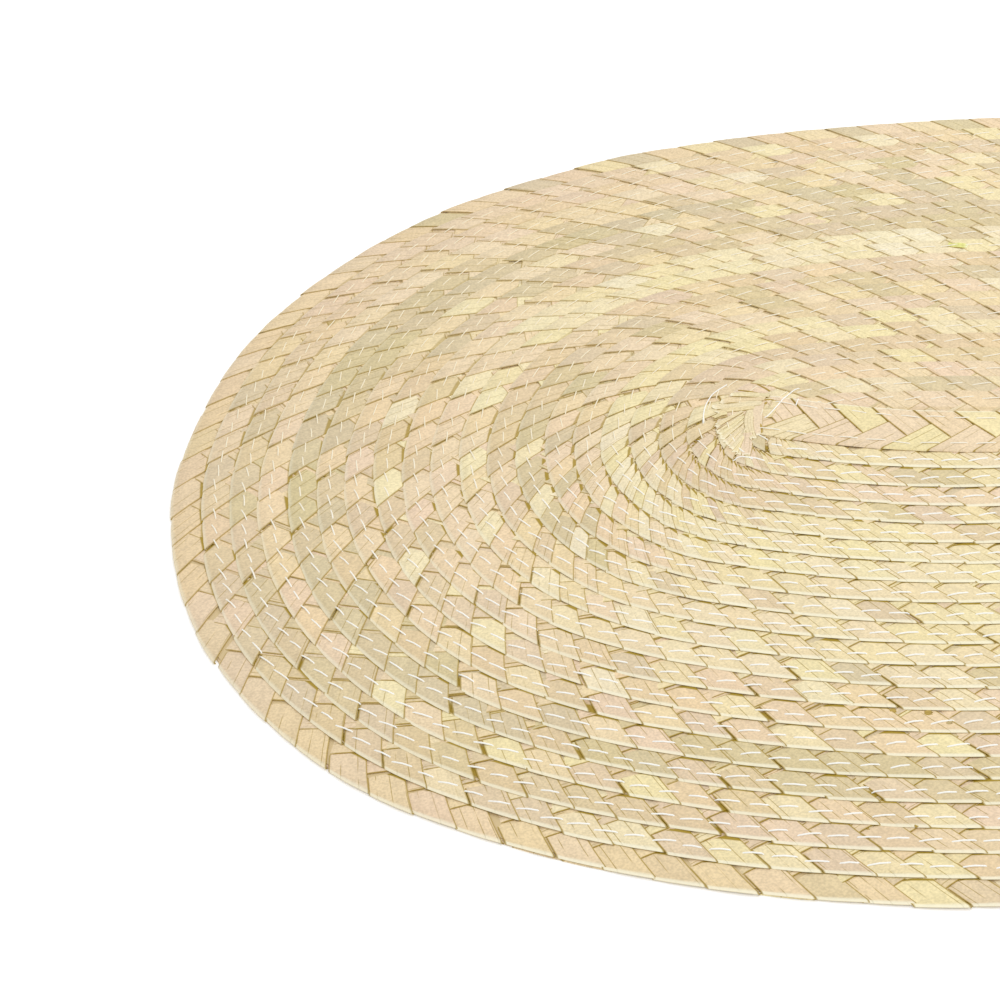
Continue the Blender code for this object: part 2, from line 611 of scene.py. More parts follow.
class Nodes:
    """A node tree that is being written."""

    def __init__(self, tree: bpy.types.NodeTree) -> None:
        """Keep the tree.

        Args:
            tree: The tree that the nodes go into.
        """
        self.tree = tree

    def add(self, kind: str, inputs: dict | None = None, **settings: object) -> bpy.types.Node:
        """Add a node and fill its inputs.

        Args:
            kind: The node's type.
            inputs: By socket name or number, a value or the socket that feeds it.
            settings: The node's own properties.

        Returns:
            The node.
        """
        node = self.tree.nodes.new(kind)
        for name, value in settings.items():
            setattr(node, name, value)
        for key, value in (inputs or {}).items():
            socket = self.socket(node, key)
            if isinstance(value, Socket):
                self.tree.links.new(value, socket)
            else:
                socket.default_value = value
        return node

    @staticmethod
    def socket(node: bpy.types.Node, key: str | int) -> Socket:
        """A node's input by number, or the first one in use with a name."""
        if isinstance(key, int):
            return node.inputs[key]
        return next(s for s in node.inputs if s.name == key and s.enabled)

    @staticmethod
    def out(node: bpy.types.Node, name: str | int = 0) -> Socket:
        """A node's output by number, or the first one in use with a name."""
        if isinstance(name, int):
            return [s for s in node.outputs if s.enabled][name]
        return next(s for s in node.outputs if s.name == name and s.enabled)

    def math(self, operation: str, *values: object) -> Socket:
        """The result of a math node on values or sockets."""
        return self.add("ShaderNodeMath", dict(enumerate(values)), operation=operation).outputs[0]

    def times(self, first: object, second: object) -> Socket:
        """The product of two values or sockets."""
        return self.math("MULTIPLY", first, second)

    def plus(self, first: object, second: object) -> Socket:
        """The sum of two values or sockets."""
        return self.math("ADD", first, second)

    def vector(self, operation: str, *values: object) -> Socket:
        """The vector that a vector math node makes of values or sockets."""
        return self.add("ShaderNodeVectorMath", dict(enumerate(values)), operation=operation).outputs[0]

    def scaled(self, vector: object, factor: object) -> Socket:
        """A vector times a number."""
        inputs = {"Vector": vector, "Scale": factor}
        return self.add("ShaderNodeVectorMath", inputs, operation="SCALE").outputs[0]

    def joined(self, *parts: object) -> Socket:
        """A vector of its parts."""
        return self.add("ShaderNodeCombineXYZ", dict(enumerate(parts))).outputs[0]

    def parts(self, vector: Socket) -> Sequence[Socket]:
        """The three parts of a vector."""
        return self.add("ShaderNodeSeparateXYZ", {0: vector}).outputs

    def mapped(self, value: object, source: Span, result: Span = (0.0, 1.0)) -> Socket:
        """A value carried smoothly from one range to another."""
        inputs = {0: value, 1: source[0], 2: source[1], 3: result[0], 4: result[1]}
        return self.add("ShaderNodeMapRange", inputs, interpolation_type="SMOOTHSTEP").outputs[0]

    def noise(self, place: Socket, scale: float, detail: float) -> Socket:
        """Noise from 0 to 1 at a place."""
        return self.out(self.add("ShaderNodeTexNoise", {"Vector": place, "Scale": scale, "Detail": detail}))

    def read(self, name: str) -> Socket:
        """A number that the surface carries under a name."""
        return self.add("ShaderNodeAttribute", attribute_name=name).outputs["Fac"]

    def carried(self, name: str, kind: str = "FLOAT_VECTOR") -> Socket:
        """A value that geometry carries under a name."""
        node = self.add("GeometryNodeInputNamedAttribute", {"Name": name}, data_type=kind)
        return self.out(node, "Attribute")

    def mixed(self, factor: object, first: object, second: object, blend: str = "MIX") -> Socket:
        """Two colours mixed.

        Args:
            factor: The share of the second colour.
            first: The first colour or its socket.
            second: The second colour or its socket.
            blend: How they are mixed.

        Returns:
            The mixed colour's socket.
        """
        inputs = {"Factor": factor, "A": first, "B": second}
        return self.out(self.add("ShaderNodeMix", inputs, data_type="RGBA", blend_type=blend))


def new_tree(name: str, sockets: Iterable[tuple[str, str, str]]) -> Nodes:
    """Start a geometry node tree.

    Args:
        name: The tree's name.
        sockets: For each of its sockets the name, INPUT or OUTPUT, and the kind.

    Returns:
        The tree, ready for its nodes.
    """
    tree = bpy.data.node_groups.new(name, "GeometryNodeTree")
    for socket, way, kind in sockets:
        tree.interface.new_socket(socket, in_out=way, socket_type="NodeSocket" + kind)
    return Nodes(tree)


@dataclass
class Dress:
    """A material that is being written: its nodes, and the shader that they feed.

    Attributes:
        name: The material's name.
        values: The shader's constant values by socket name.
    """

    name: str
    values: dict[str, object]

    def __post_init__(self) -> None:
        """Start the material."""
        self.material = bpy.data.materials.new(self.name)
        self.material.use_nodes = True
        self.nodes = Nodes(self.material.node_tree)
        self.shader = self.material.node_tree.nodes["Principled BSDF"]
        for key, value in self.values.items():
            self.shader.inputs[key].default_value = value

    def finish(self, colour: Socket, relief: Socket, strength: float, depth: float) -> bpy.types.Material:
        """Feed the shader.

        Args:
            colour: The surface's colour.
            relief: The height of its fine relief, from 0 to 1.
            strength: How strongly the relief shows.
            depth: The relief's depth.

        Returns:
            The finished material.
        """
        inputs = {"Height": relief, "Strength": strength, "Distance": depth}
        bump = self.nodes.add("ShaderNodeBump", inputs)
        self.nodes.tree.links.new(colour, self.shader.inputs["Base Color"])
        self.nodes.tree.links.new(bump.outputs[0], self.shader.inputs["Normal"])
        return self.material


@dataclass
class PathTool:
    """The node group that lays flat, straight work onto a path of stations."""

    name: str = "wind_onto_path"

    def group(self) -> bpy.types.GeometryNodeTree:
        """Write the group.

        Returns:
            A tree whose inputs are the work, the path's points and the step.
        """
        nodes = new_tree(
            self.name,
            (
                ("Work", "INPUT", "Geometry"),
                ("Path", "INPUT", "Geometry"),
                ("Step", "INPUT", "Float"),
                ("Work", "OUTPUT", "Geometry"),
            ),
        )
        given = nodes.add("NodeGroupInput")
        path = given.outputs["Path"]
        position = nodes.add("GeometryNodeInputPosition").outputs[0]
        along, across, height = nodes.parts(position)
        count = nodes.math("DIVIDE", nodes.math("MAXIMUM", along, 0.0), given.outputs["Step"])
        whole = nodes.math("FLOOR", count)
        part = nodes.math("SUBTRACT", count, whole)
        edge = self.sampled(nodes, path, position, whole, part)
        inward = self.sampled(nodes, path, nodes.carried("inward"), whole, part)
        lie = self.sampled(nodes, path, nodes.carried("lie"), whole, part)
        lift, span, room = nodes.parts(lie)
        reach = nodes.times(nodes.math("TANH", nodes.math("DIVIDE", across, room)), room)
        down = nodes.math("MINIMUM", nodes.math("DIVIDE", across, span), 1.0)
        base = nodes.times(lift, nodes.math("SUBTRACT", 1.0, down))
        level = nodes.joined(0.0, 0.0, nodes.plus(base, height))
        place = nodes.vector("ADD", nodes.vector("ADD", edge, nodes.scaled(inward, reach)), level)
        inputs = {"Geometry": given.outputs["Work"], "Position": place}
        moved = nodes.add("GeometryNodeSetPosition", inputs)
        nodes.add("NodeGroupOutput", {"Work": moved.outputs[0]})
        return nodes.tree

    @staticmethod
    def sampled(nodes: Nodes, path: Socket, value: Socket, whole: Socket, part: Socket) -> Socket:
        """A value of the path between two of its points.

        Args:
            nodes: The tree.
            path: The path's points.
            value: What is read there.
            whole: The number of the point before.
            part: The share of the way to the next one.

        Returns:
            The blended value.
        """
        ends = []
        for ahead in (0.0, 1.0):
            node = nodes.add(
                "GeometryNodeSampleIndex",
                {"Geometry": path, "Value": value, "Index": nodes.plus(whole, ahead)},
                data_type="FLOAT_VECTOR",
                domain="POINT",
                clamp=True,
            )
            ends.append(nodes.out(node))
        between = nodes.vector("SUBTRACT", ends[1], ends[0])
        return nodes.vector("ADD", ends[0], nodes.scaled(between, part))


def points_object(
    name: str, places: Iterable[Sequence[float]], layers: dict[str, tuple[str, Sequence]]
) -> bpy.types.Object:
    """An object of loose points with attributes.

    Args:
        name: The object's name.
        places: Where the points are.
        layers: By attribute name its kind and its values.

    Returns:
        The object, linked to the scene.
    """
    mesh = bpy.data.meshes.new(name)
    mesh.from_pydata([tuple(p) for p in places], [], [])
    for key, (kind, values) in layers.items():
        layer = mesh.attributes.new(key, kind, "POINT")
        number = np.int32 if kind == "INT" else np.float32
        slot = "vector" if kind == "FLOAT_VECTOR" else "value"
        layer.data.foreach_set(slot, np.array(values, dtype=number).ravel())
    obj = bpy.data.objects.new(name, mesh)
    bpy.context.scene.collection.objects.link(obj)
    return obj


def path_object(name: str, stations: Sequence[Station]) -> bpy.types.Object:
    """The stations as an object of points that a node tree reads.

    Args:
        name: The object's name.
        stations: The stations in order.

    Returns:
        The object, with the attributes inward and lie.
    """
    return points_object(
        name,
        [(s.point.x, s.point.y, 0.0) for s in stations],
        {
            "inward": ("FLOAT_VECTOR", [(s.inward.x, s.inward.y, 0.0) for s in stations]),
            "lie": ("FLOAT_VECTOR", [(s.lift, s.span, s.room) for s in stations]),
        },
    )


@dataclass(frozen=True)
class Placement:
    """One repeat along a plait.

    Attributes:
        along: Its place along the path.
        across: Its place inwards from the outer edge.
        height: Its height over the plait's underside.
        size: Its scale along, across and up.
        turn: Its turn in the flat, in radians.
        tone: Which colour of leaf or thread it has, from 0 to 1.
        grain: A number of its own for its markings, from 0 to 1.
        narrow: Its strip's width, compared with a whole strip's.
        edge: How strongly the painted highlight and shade at its outer fold, and its dark edge and crease
            lines, show, from 0 to 1.
        choice: Which of the units it is a copy of.
    """

    along: float
    across: float
    height: float
    size: Triple
    turn: float
    tone: float
    grain: float
    narrow: float = 1.0
    edge: float = 1.0
    choice: int = 0


@dataclass
class Repeater:
    """Lays copies of a few small meshes along a path, and gives back one plain mesh."""

    tool: bpy.types.GeometryNodeTree

    def tree(self, name: str) -> bpy.types.GeometryNodeTree:
        """The node tree: instances on placements, realised, wound onto the path, with the finish set.

        Args:
            name: The tree's name.

        Returns:
            The tree, with the inputs Placements, Units, Path, Step and Finish.
        """
        nodes = new_tree(
            name,
            (
                ("Placements", "INPUT", "Geometry"),
                ("Units", "INPUT", "Collection"),
                ("Path", "INPUT", "Object"),
                ("Step", "INPUT", "Float"),
                ("Finish", "INPUT", "Material"),
                ("Result", "OUTPUT", "Geometry"),
            ),
        )
        given = nodes.add("NodeGroupInput")
        units = nodes.add(
            "GeometryNodeCollectionInfo",
            {"Collection": given.outputs["Units"], "Separate Children": True, "Reset Children": True},
        )
        placed = nodes.add(
            "GeometryNodeInstanceOnPoints",
            {
                "Points": given.outputs["Placements"],
                "Instance": units.outputs[0],
                "Pick Instance": True,
                "Instance Index": nodes.carried("choice", "INT"),
                "Rotation": nodes.carried("turned"),
                "Scale": nodes.carried("size"),
            },
        )
        real = nodes.add("GeometryNodeRealizeInstances", {"Geometry": placed.outputs[0]})
        less = nodes.vector("SUBTRACT", nodes.carried("narrowing"), (1.0, 1.0, 0.0))
        spread = nodes.vector("MULTIPLY", nodes.carried("spread"), nodes.carried("size"))
        inputs = {"Geometry": real.outputs[0], "Offset": nodes.vector("MULTIPLY", spread, less)}
        narrowed = nodes.add("GeometryNodeSetPosition", inputs)
        path = nodes.add("GeometryNodeObjectInfo", {"Object": given.outputs["Path"]})
        wound = nodes.add("GeometryNodeGroup", node_tree=self.tool)
        nodes.tree.links.new(narrowed.outputs[0], wound.inputs["Work"])
        nodes.tree.links.new(path.outputs["Geometry"], wound.inputs["Path"])
        nodes.tree.links.new(given.outputs["Step"], wound.inputs["Step"])
        inputs = {"Geometry": wound.outputs[0], "Material": given.outputs["Finish"]}
        dressed = nodes.add("GeometryNodeSetMaterial", inputs)
        nodes.add("NodeGroupOutput", {"Result": dressed.outputs[0]})
        return nodes.tree

    def lay(
        self,
        name: str,
        placements: Sequence[Placement],
        units: bpy.types.Collection,
        path: bpy.types.Object,
        finish: bpy.types.Material,
    ) -> bpy.types.Object:
        """Lay the placements along the path.

        Args:
            name: The piece's name.
            placements: Where the repeats go.
            units: The collection of meshes that they are copies of.
            path: The object of stations.
            finish: The piece's material.

        Returns:
            The finished piece as a plain mesh object.
        """
        layers = {
            "size": ("FLOAT_VECTOR", [p.size for p in placements]),
            "turned": ("FLOAT_VECTOR", [(0.0, 0.0, p.turn) for p in placements]),
            "narrowing": ("FLOAT_VECTOR", [(p.narrow, p.narrow, 0.0) for p in placements]),
            "tone": ("FLOAT", [p.tone for p in placements]),
            "grain": ("FLOAT", [p.grain for p in placements]),
            "narrow": ("FLOAT", [p.narrow for p in placements]),
            "edge": ("FLOAT", [p.edge for p in placements]),
            "choice": ("INT", [p.choice for p in placements]),
        }
        places = [(p.along, p.across, p.height) for p in placements]
        source = points_object(name + "_placements", places, layers)
        tree = self.tree(name + "_nodes")
        modifier = source.modifiers.new("lay", "NODES")
        modifier.node_group = tree
        values = {"Units": units, "Path": path, "Step": STEP, "Finish": finish}
        for item in tree.interface.items_tree:
            if item.item_type == "SOCKET" and item.in_out == "INPUT" and item.name in values:
                modifier[item.identifier] = values[item.name]
        graph = bpy.context.evaluated_depsgraph_get()
        mesh = bpy.data.meshes.new_from_object(source.evaluated_get(graph), depsgraph=graph)
        mesh.name = name
        source.modifiers.remove(modifier)
        bpy.data.objects.remove(source, do_unlink=True)
        return finished_object(name, mesh)


def finished_object(
    name: str, mesh: bpy.types.Mesh, finish: bpy.types.Material | None = None
) -> bpy.types.Object:
    """A linked object for a closed mesh, with its faces turned outwards and its sharp edges marked.

    Args:
        name: The object's name.
        mesh: The mesh.
        finish: Its material, where it has none yet.

    Returns:
        The object.
    """
    shape = bmesh.new()
    shape.from_mesh(mesh)
    if shape.calc_volume(signed=True) < 0:
        bmesh.ops.reverse_faces(shape, faces=shape.faces)
        shape.to_mesh(mesh)
    shape.free()
    mesh.set_sharp_from_angle(angle=SHARP_ANGLE)
    if finish:
        mesh.materials.append(finish)
    obj = bpy.data.objects.new(name, mesh)
    bpy.context.scene.collection.objects.link(obj)
    LOG.info("%s: %d faces", name, len(mesh.polygons))
    return obj


@dataclass(frozen=True)
class LeafPlace:
    """Where a point of the surface lies on its strip of leaf, as the sockets of a material.

    Attributes:
        length: Metres along the leaf from its outer fold.
        width: Metres across it from its middle.
        grain: The strip's own number, from 0 to 1.
        shift: A larger number of its own, so that no two strips are marked alike.
        edge: How strongly the painted highlight and shade at the outer fold, and the dark edge and crease
            lines, show, from 0 to 1.
    """

    length: Socket
    width: Socket
    grain: Socket
    shift: Socket
    edge: Socket


@dataclass(frozen=True)
class LeafFinish:
    """Dry palm leaf: pale straw, with pinkish, yellowish and khaki strips, grain along them, and creases;
    shade and a fold highlight are painted on.

    Attributes:
        under_lip_shade: How strongly shade is painted on the leaf where it goes under the next row's edge.
        stops: The named colours of leaf, each with its tone and its linear values.
        edge_and_shade_ochre: The dark ochre of the strips' edges and creases, partly the leaf's own and
            partly painted shade, and of the painted shade on the folds and under the next row's edge.
        fold_highlight: The pale of the painted highlight along the outer fold.
        tints: For green and for blue, what scrambles a strip's number, and how far strips differ.
        fine_waves: Waves in a metre along the leaf and across it, and the noise's detail.
        fine_tone: The least share of light that the fine streaks leave, and what they add to it.
    """

    under_lip_shade: float = 0.96
    stops: Sequence[tuple[str, float, Colour]] = (
        ("ochre", 0.0, (0.480, 0.330, 0.070, 1.0)),
        ("khaki", 0.05, (0.696, 0.580, 0.350, 1.0)),
        ("dull", 0.24, (0.757, 0.599, 0.381, 1.0)),
        ("pink", 0.44, (0.842, 0.656, 0.427, 1.0)),
        ("straw", 0.70, (0.854, 0.720, 0.436, 1.0)),
        ("yellow", 0.93, (0.872, 0.746, 0.450, 1.0)),
        ("pale", 0.97, (0.893, 0.776, 0.512, 1.0)),
        ("green", 1.0, (0.760, 0.730, 0.260, 1.0)),
    )
    # Dark ochre: the leaf's own edge colour, and painted shade in gaps, at folds and under the rows' edges.
    edge_and_shade_ochre: Colour = (0.365, 0.240, 0.012, 1.0)
    fold_highlight: Colour = (0.990, 0.950, 0.745, 1.0)
    roughness: float = 0.52
    specular: float = 0.22
    half_leaf: float = 0.0040
    # The dark lines along the strips' edges: the leaf's ochre edge, and painted shade between neighbouring
    # strips.
    rim: Span = (0.00042, 0.00006)
    rim_strength: float = 0.88
    rim_kept: float = 0.85
    least_line: float = 0.55
    # The painted shade line under the next row's edge: where it starts and ends by reach, and how the
    # fold's mark sets its strength.
    line_shift: float = 0.024
    line_reach: Span = (0.443, 0.472)
    line_end: Span = (0.56, 0.52)
    line_marked: Span = (0.08, 0.50)
    line_shares: Span = (0.20, 1.0)
    crease_spacing: float = 0.0030
    crease_width: Span = (0.050, 0.014)
    creased_strips: Span = (0.15, 0.40)
    crease_waves: float = 110.0
    crease_breaks: Span = (0.40, 0.52)
    crease_strength: float = 0.65
    # Painted highlight along the outer fold, where the lip catches the light.
    fold_highlight_span: Span = (0.0016, 0.0002)
    fold_highlight_strength: float = 0.75
    # Painted shade on the outer fold's underside, the lower side of the lip.
    fold_shade_span: Span = (0.00012, -0.00012)
    fold_shade_strength: float = 0.96
    strip_shift: float = 37.0
    fine_waves: Triple = (55.0, 2600.0, 3.0)
    fine_tone: Span = (0.90, 0.14)
    broad_waves: Triple = (40.0, 420.0, 2.0)
    broad_tone: Span = (0.89, 0.20)
    speckle: float = 1500.0
    speckle_span: Span = (0.25, 0.75)
    speckle_depth: Span = (0.90, 1.10)
    tints: Sequence[Span] = ((7.31, 0.034), (23.7, 0.16))
    fine_relief: float = 0.35
    relief_strength: float = 0.45
    relief_depth: float = 0.00016

    def material(self, name: str) -> bpy.types.Material:
        """Write the material.

        Args:
            name: The material's name.

        Returns:
            The material.
        """
        dress = Dress(name, {"Roughness": self.roughness, "Specular IOR Level": self.specular})
        nodes = dress.nodes
        length, width, _ = nodes.parts(nodes.add("ShaderNodeUVMap", uv_map="leaf").outputs[0])
        grain = nodes.read("grain")
        shift = nodes.times(grain, self.strip_shift)
        leaf = LeafPlace(length, width, grain, shift, nodes.read("edge"))
        # Edge and crease lines are strongest where the fold is most marked, along the front.
        strength = nodes.math("MULTIPLY_ADD", leaf.edge, 1 - self.least_line, self.least_line)
        crease = nodes.times(self.creases(nodes, leaf), strength)
        rim = nodes.times(self.rims(nodes, leaf), strength)
        fine = self.streaks(nodes, leaf, self.fine_waves)
        colour = self.ground(nodes, leaf, fine)
        # Creases: split lines, darkened partly as painted shade in the splits.
        colour = nodes.mixed(nodes.times(crease, self.crease_strength), colour, self.edge_and_shade_ochre)
        # Painted highlight along the outer fold.
        pale = nodes.mapped(leaf.length, self.fold_highlight_span, (0.0, self.fold_highlight_strength))
        colour = nodes.mixed(nodes.times(pale, leaf.edge), colour, self.fold_highlight)
        # Painted shade on the fold's underside.
        fold_shade = nodes.mapped(leaf.length, self.fold_shade_span, (0.0, self.fold_shade_strength))
        colour = nodes.mixed(nodes.times(fold_shade, leaf.edge), colour, self.edge_and_shade_ochre)
        # Painted shade where the leaf goes under the next row's edge.
        colour = nodes.mixed(self.row_line(nodes, leaf), colour, self.edge_and_shade_ochre)
        colour = nodes.mixed(rim, colour, self.edge_and_shade_ochre)
        relief = nodes.math("SUBTRACT", nodes.times(fine, self.fine_relief), nodes.plus(crease, rim))
        return dress.finish(colour, relief, self.relief_strength, self.relief_depth)

    def ground(self, nodes: Nodes, leaf: LeafPlace, fine: Socket) -> Socket:
        """The leaf's colour before its lines: its tone, streaked, speckled and tinted.

        Args:
            nodes: The material's tree.
            leaf: The place on the leaf.
            fine: The fine streaks along it.

        Returns:
            The colour.
        """
        ramp = nodes.add("ShaderNodeValToRGB", {0: nodes.read("tone")})
        elements = ramp.color_ramp.elements
        while len(elements) < len(self.stops):
            elements.new(0.5)
        for element, (_, position, colour) in zip(elements, self.stops):
            element.position = position
            element.color = colour
        broad = self.streaks(nodes, leaf, self.broad_waves)
        shades = []
        for streak, (least, more) in ((fine, self.fine_tone), (broad, self.broad_tone)):
            shades.append(nodes.plus(least, nodes.times(streak, more)))
        place = nodes.add("ShaderNodeTexCoord").outputs["Object"]
        spots = nodes.mapped(nodes.noise(place, self.speckle, 1.0), self.speckle_span, self.speckle_depth)
        varied = nodes.times(nodes.times(*shades), spots)
        parts = [varied]
        for scramble, spread in self.tints:
            own = nodes.math("FRACT", nodes.times(leaf.grain, scramble))
            parts.append(nodes.times(varied, nodes.math("MULTIPLY_ADD", own, spread, 1 - spread / 2)))
        return nodes.mixed(1.0, ramp.outputs[0], nodes.joined(*parts), "MULTIPLY")

    def rims(self, nodes: Nodes, leaf: LeafPlace) -> Socket:
        """The dark lines along both edges of the strip, thinner on a narrow one: the leaf's ochre edge, and
        painted shade between neighbouring strips.

        Args:
            nodes: The material's tree.
            leaf: The place on the leaf.

        Returns:
            Their strength.
        """
        narrow = nodes.read("narrow")
        inside = nodes.math("SUBTRACT", self.half_leaf, nodes.math("ABSOLUTE", leaf.width))
        thinned = nodes.math("MULTIPLY_ADD", narrow, self.rim_kept, 1 - self.rim_kept)
        from_rim = nodes.math("DIVIDE", nodes.times(inside, narrow), thinned)
        return nodes.mapped(from_rim, self.rim, (0.0, self.rim_strength))

    def row_line(self, nodes: Nodes, leaf: LeafPlace) -> Socket:
        """The painted shade line where the leaf goes under the next row's edge.

        Args:
            nodes: The material's tree.
            leaf: The place on the leaf.

        Returns:
            Its strength.
        """
        sooner = nodes.math("MULTIPLY_ADD", leaf.edge, -self.line_shift, self.line_shift)
        reach = nodes.plus(nodes.read("reach"), sooner)
        start = nodes.mapped(reach, self.line_reach, (0.0, self.under_lip_shade))
        under = nodes.times(start, nodes.mapped(reach, self.line_end))
        return nodes.times(under, nodes.mapped(leaf.edge, self.line_marked, self.line_shares))

    @staticmethod
    def streaks(nodes: Nodes, leaf: LeafPlace, waves: Triple) -> Socket:
        """Noise drawn out along the leaf.

        Args:
            nodes: The material's tree.
            leaf: The place on the leaf.
            waves: Waves in a metre along the leaf and across it, and the noise's detail.

        Returns:
            The noise, from 0 to 1.
        """
        along, across, detail = waves
        place = nodes.joined(nodes.times(leaf.length, along), nodes.times(leaf.width, across), leaf.shift)
        return nodes.noise(place, 1.0, detail)

    def creases(self, nodes: Nodes, leaf: LeafPlace) -> Socket:
        """Thin broken lines along the leaf, where it was split or folded lengthwise, on some of the strips;
        their dark is partly the split's own and partly painted shade.

        Args:
            nodes: The material's tree.
            leaf: The place on the leaf.

        Returns:
            One on a line, nothing beside it.
        """
        cells = nodes.plus(nodes.math("DIVIDE", leaf.width, self.crease_spacing), leaf.shift)
        lines = nodes.add(
            "ShaderNodeTexVoronoi",
            {"W": cells, "Scale": 1.0, "Randomness": 1.0},
            voronoi_dimensions="1D",
            feature="DISTANCE_TO_EDGE",
        )
        line = nodes.mapped(lines.outputs["Distance"], self.crease_width)
        shown = nodes.mapped(leaf.grain, self.creased_strips)
        place = nodes.joined(nodes.times(leaf.length, self.crease_waves), cells, leaf.shift)
        broken = nodes.mapped(nodes.noise(place, 1.0, 1.0), self.crease_breaks)
        return nodes.times(line, nodes.times(shown, broken))


@dataclass(frozen=True)
class InnerLeafFinish:
    """The leaf inside the mat, which shows only through the gaps between the strips; its colour is a darker
    straw, painted shade for the gaps.
    """

    # Darker than the strips on top: painted shade in the gaps.
    colour: Colour = (0.640, 0.490, 0.260, 1.0)
    roughness: float = 0.7

    def material(self, name: str) -> bpy.types.Material:
        """Write the material."""
        return Dress(name, {"Base Color": self.colour, "Roughness": self.roughness}).material


@dataclass(frozen=True)
class ThreadFinish:
    """White cotton sewing thread with a fine twist, cream where it is dull."""

    colour: Colour = (0.99, 0.99, 0.95, 1.0)
    cream: Colour = (0.90, 0.80, 0.58, 1.0)
    shade: Colour = (0.75, 0.72, 0.64, 1.0)
    shade_span: Span = (0.35, 0.65)
    shade_depth: float = 0.18
    roughness: float = 0.75
    twist: float = 2400.0
    twist_detail: float = 2.0
    twist_strength: float = 0.4
    twist_depth: float = 0.0001

    def material(self, name: str) -> bpy.types.Material:
        """Write the material.

        Args:
            name: The material's name.

        Returns:
            The material.
        """
        dress = Dress(name, {"Roughness": self.roughness})
        nodes = dress.nodes
        place = nodes.add("ShaderNodeTexCoord").outputs["Object"]
        noise = nodes.noise(place, self.twist, self.twist_detail)
        dull = nodes.mapped(noise, self.shade_span, (0.0, self.shade_depth))
        own = nodes.mixed(nodes.read("tone"), self.colour, self.cream)
        colour = nodes.mixed(dull, own, self.shade)
        return dress.finish(colour, noise, self.twist_strength, self.twist_depth)


@dataclass
class LeafTones:
    """Which colour of leaf each strand has: long runs of a tone, with new strips spliced in.

    The batches say for each turn from which they hold how often each of the tones comes up.
    """

    seed: int = 11
    strip_units: tuple[int, int] = (4, 9)
    run_length: float = 0.16
    run_stretch: Span = (0.3, 1.7)
    run_share: float = 0.5
    first_run: float = 0.6
    first_tones: Sequence[float] = (0.7, 0.5, 0.6)
    tones: Sequence[float] = (0.10, 0.28, 0.46, 0.70, 0.90)
    batches: Sequence[tuple[int, Sequence[int]]] = (
        (0, (10, 20, 34, 26, 10)),
        (3, (6, 26, 44, 18, 6)),
        (5, (2, 2, 12, 36, 48)),
        (7, (10, 18, 26, 28, 18)),
        (11, (6, 4, 12, 38, 40)),
        (13, (10, 21, 31, 18, 20)),
        (14, (13, 27, 34, 12, 14)),
        (15, (13, 12, 15, 30, 30)),
        (16, (48, 17, 11, 11, 13)),
        (17, (25, 15, 19, 19, 22)),
        (18, (30, 19, 20, 14, 17)),
        (19, (4, 20, 57, 12, 7)),
    )
    # Tones shift duller away from the front, painted shade for the light that falls off towards the left
    # end and the back; pale tones shift paler instead.
    away_shade_turns: Span = (4.0, 8.0)
    away_shade_shift: float = 0.33
    outer_turns: Span = (18.0, 20.0)
    outer_share: float = 0.5
    pale_tone: float = 0.85
    pale_shift: float = -0.09
    stray: float = 0.05
    limits: Span = (0.05, 0.97)

    def __post_init__(self) -> None:
        """Start the random numbers and the three strands."""
        self.rng = random.Random(self.seed)
        self.left = [0, 0, 0]
        self.tone = list(self.first_tones)
        self.run = self.first_run
        self.run_left = 0.0

    def next_tone(self, strand: int, travelled: float, turn: int = 0, away: float = 0.0) -> float:
        """The tone of a strand's next unit.

        Args:
            strand: Which of the three strands.
            travelled: How far along the plait the unit is from the last one.
            turn: The turn that it is in, which says what leaf was at hand.
            away: How far its tone is shifted as painted shade, more at the left end and behind than at the
                front, from 0 to 1.

        Returns:
            The tone, from 0 to 1.
        """
        weights = [batch for first_turn, batch in self.batches if turn >= first_turn][-1]
        self.run_left -= travelled
        if self.run_left <= 0:
            self.run_left = self.rng.uniform(*self.run_stretch) * self.run_length
            self.run = self.rng.choices(self.tones, weights)[0]
        if self.left[strand] <= 0:
            self.left[strand] = self.rng.randint(*self.strip_units)
            own = self.rng.choices(self.tones, weights)[0]
            self.tone[strand] = self.run if self.rng.random() < self.run_share else own
        self.left[strand] -= 1
        # Painted shade: the tone shifts duller away from the front, from the middle turns on, less in the
        # outermost.
        dull = smooth_step(*self.away_shade_turns, turn)
        dull *= 1 - self.outer_share * smooth_step(*self.outer_turns, turn)
        shift = self.pale_shift if self.tone[strand] > self.pale_tone else self.away_shade_shift
        tone = self.tone[strand] - shift * away * dull
        low, high = self.limits
        return min(high, max(low, tone + self.rng.uniform(-self.stray, self.stray)))


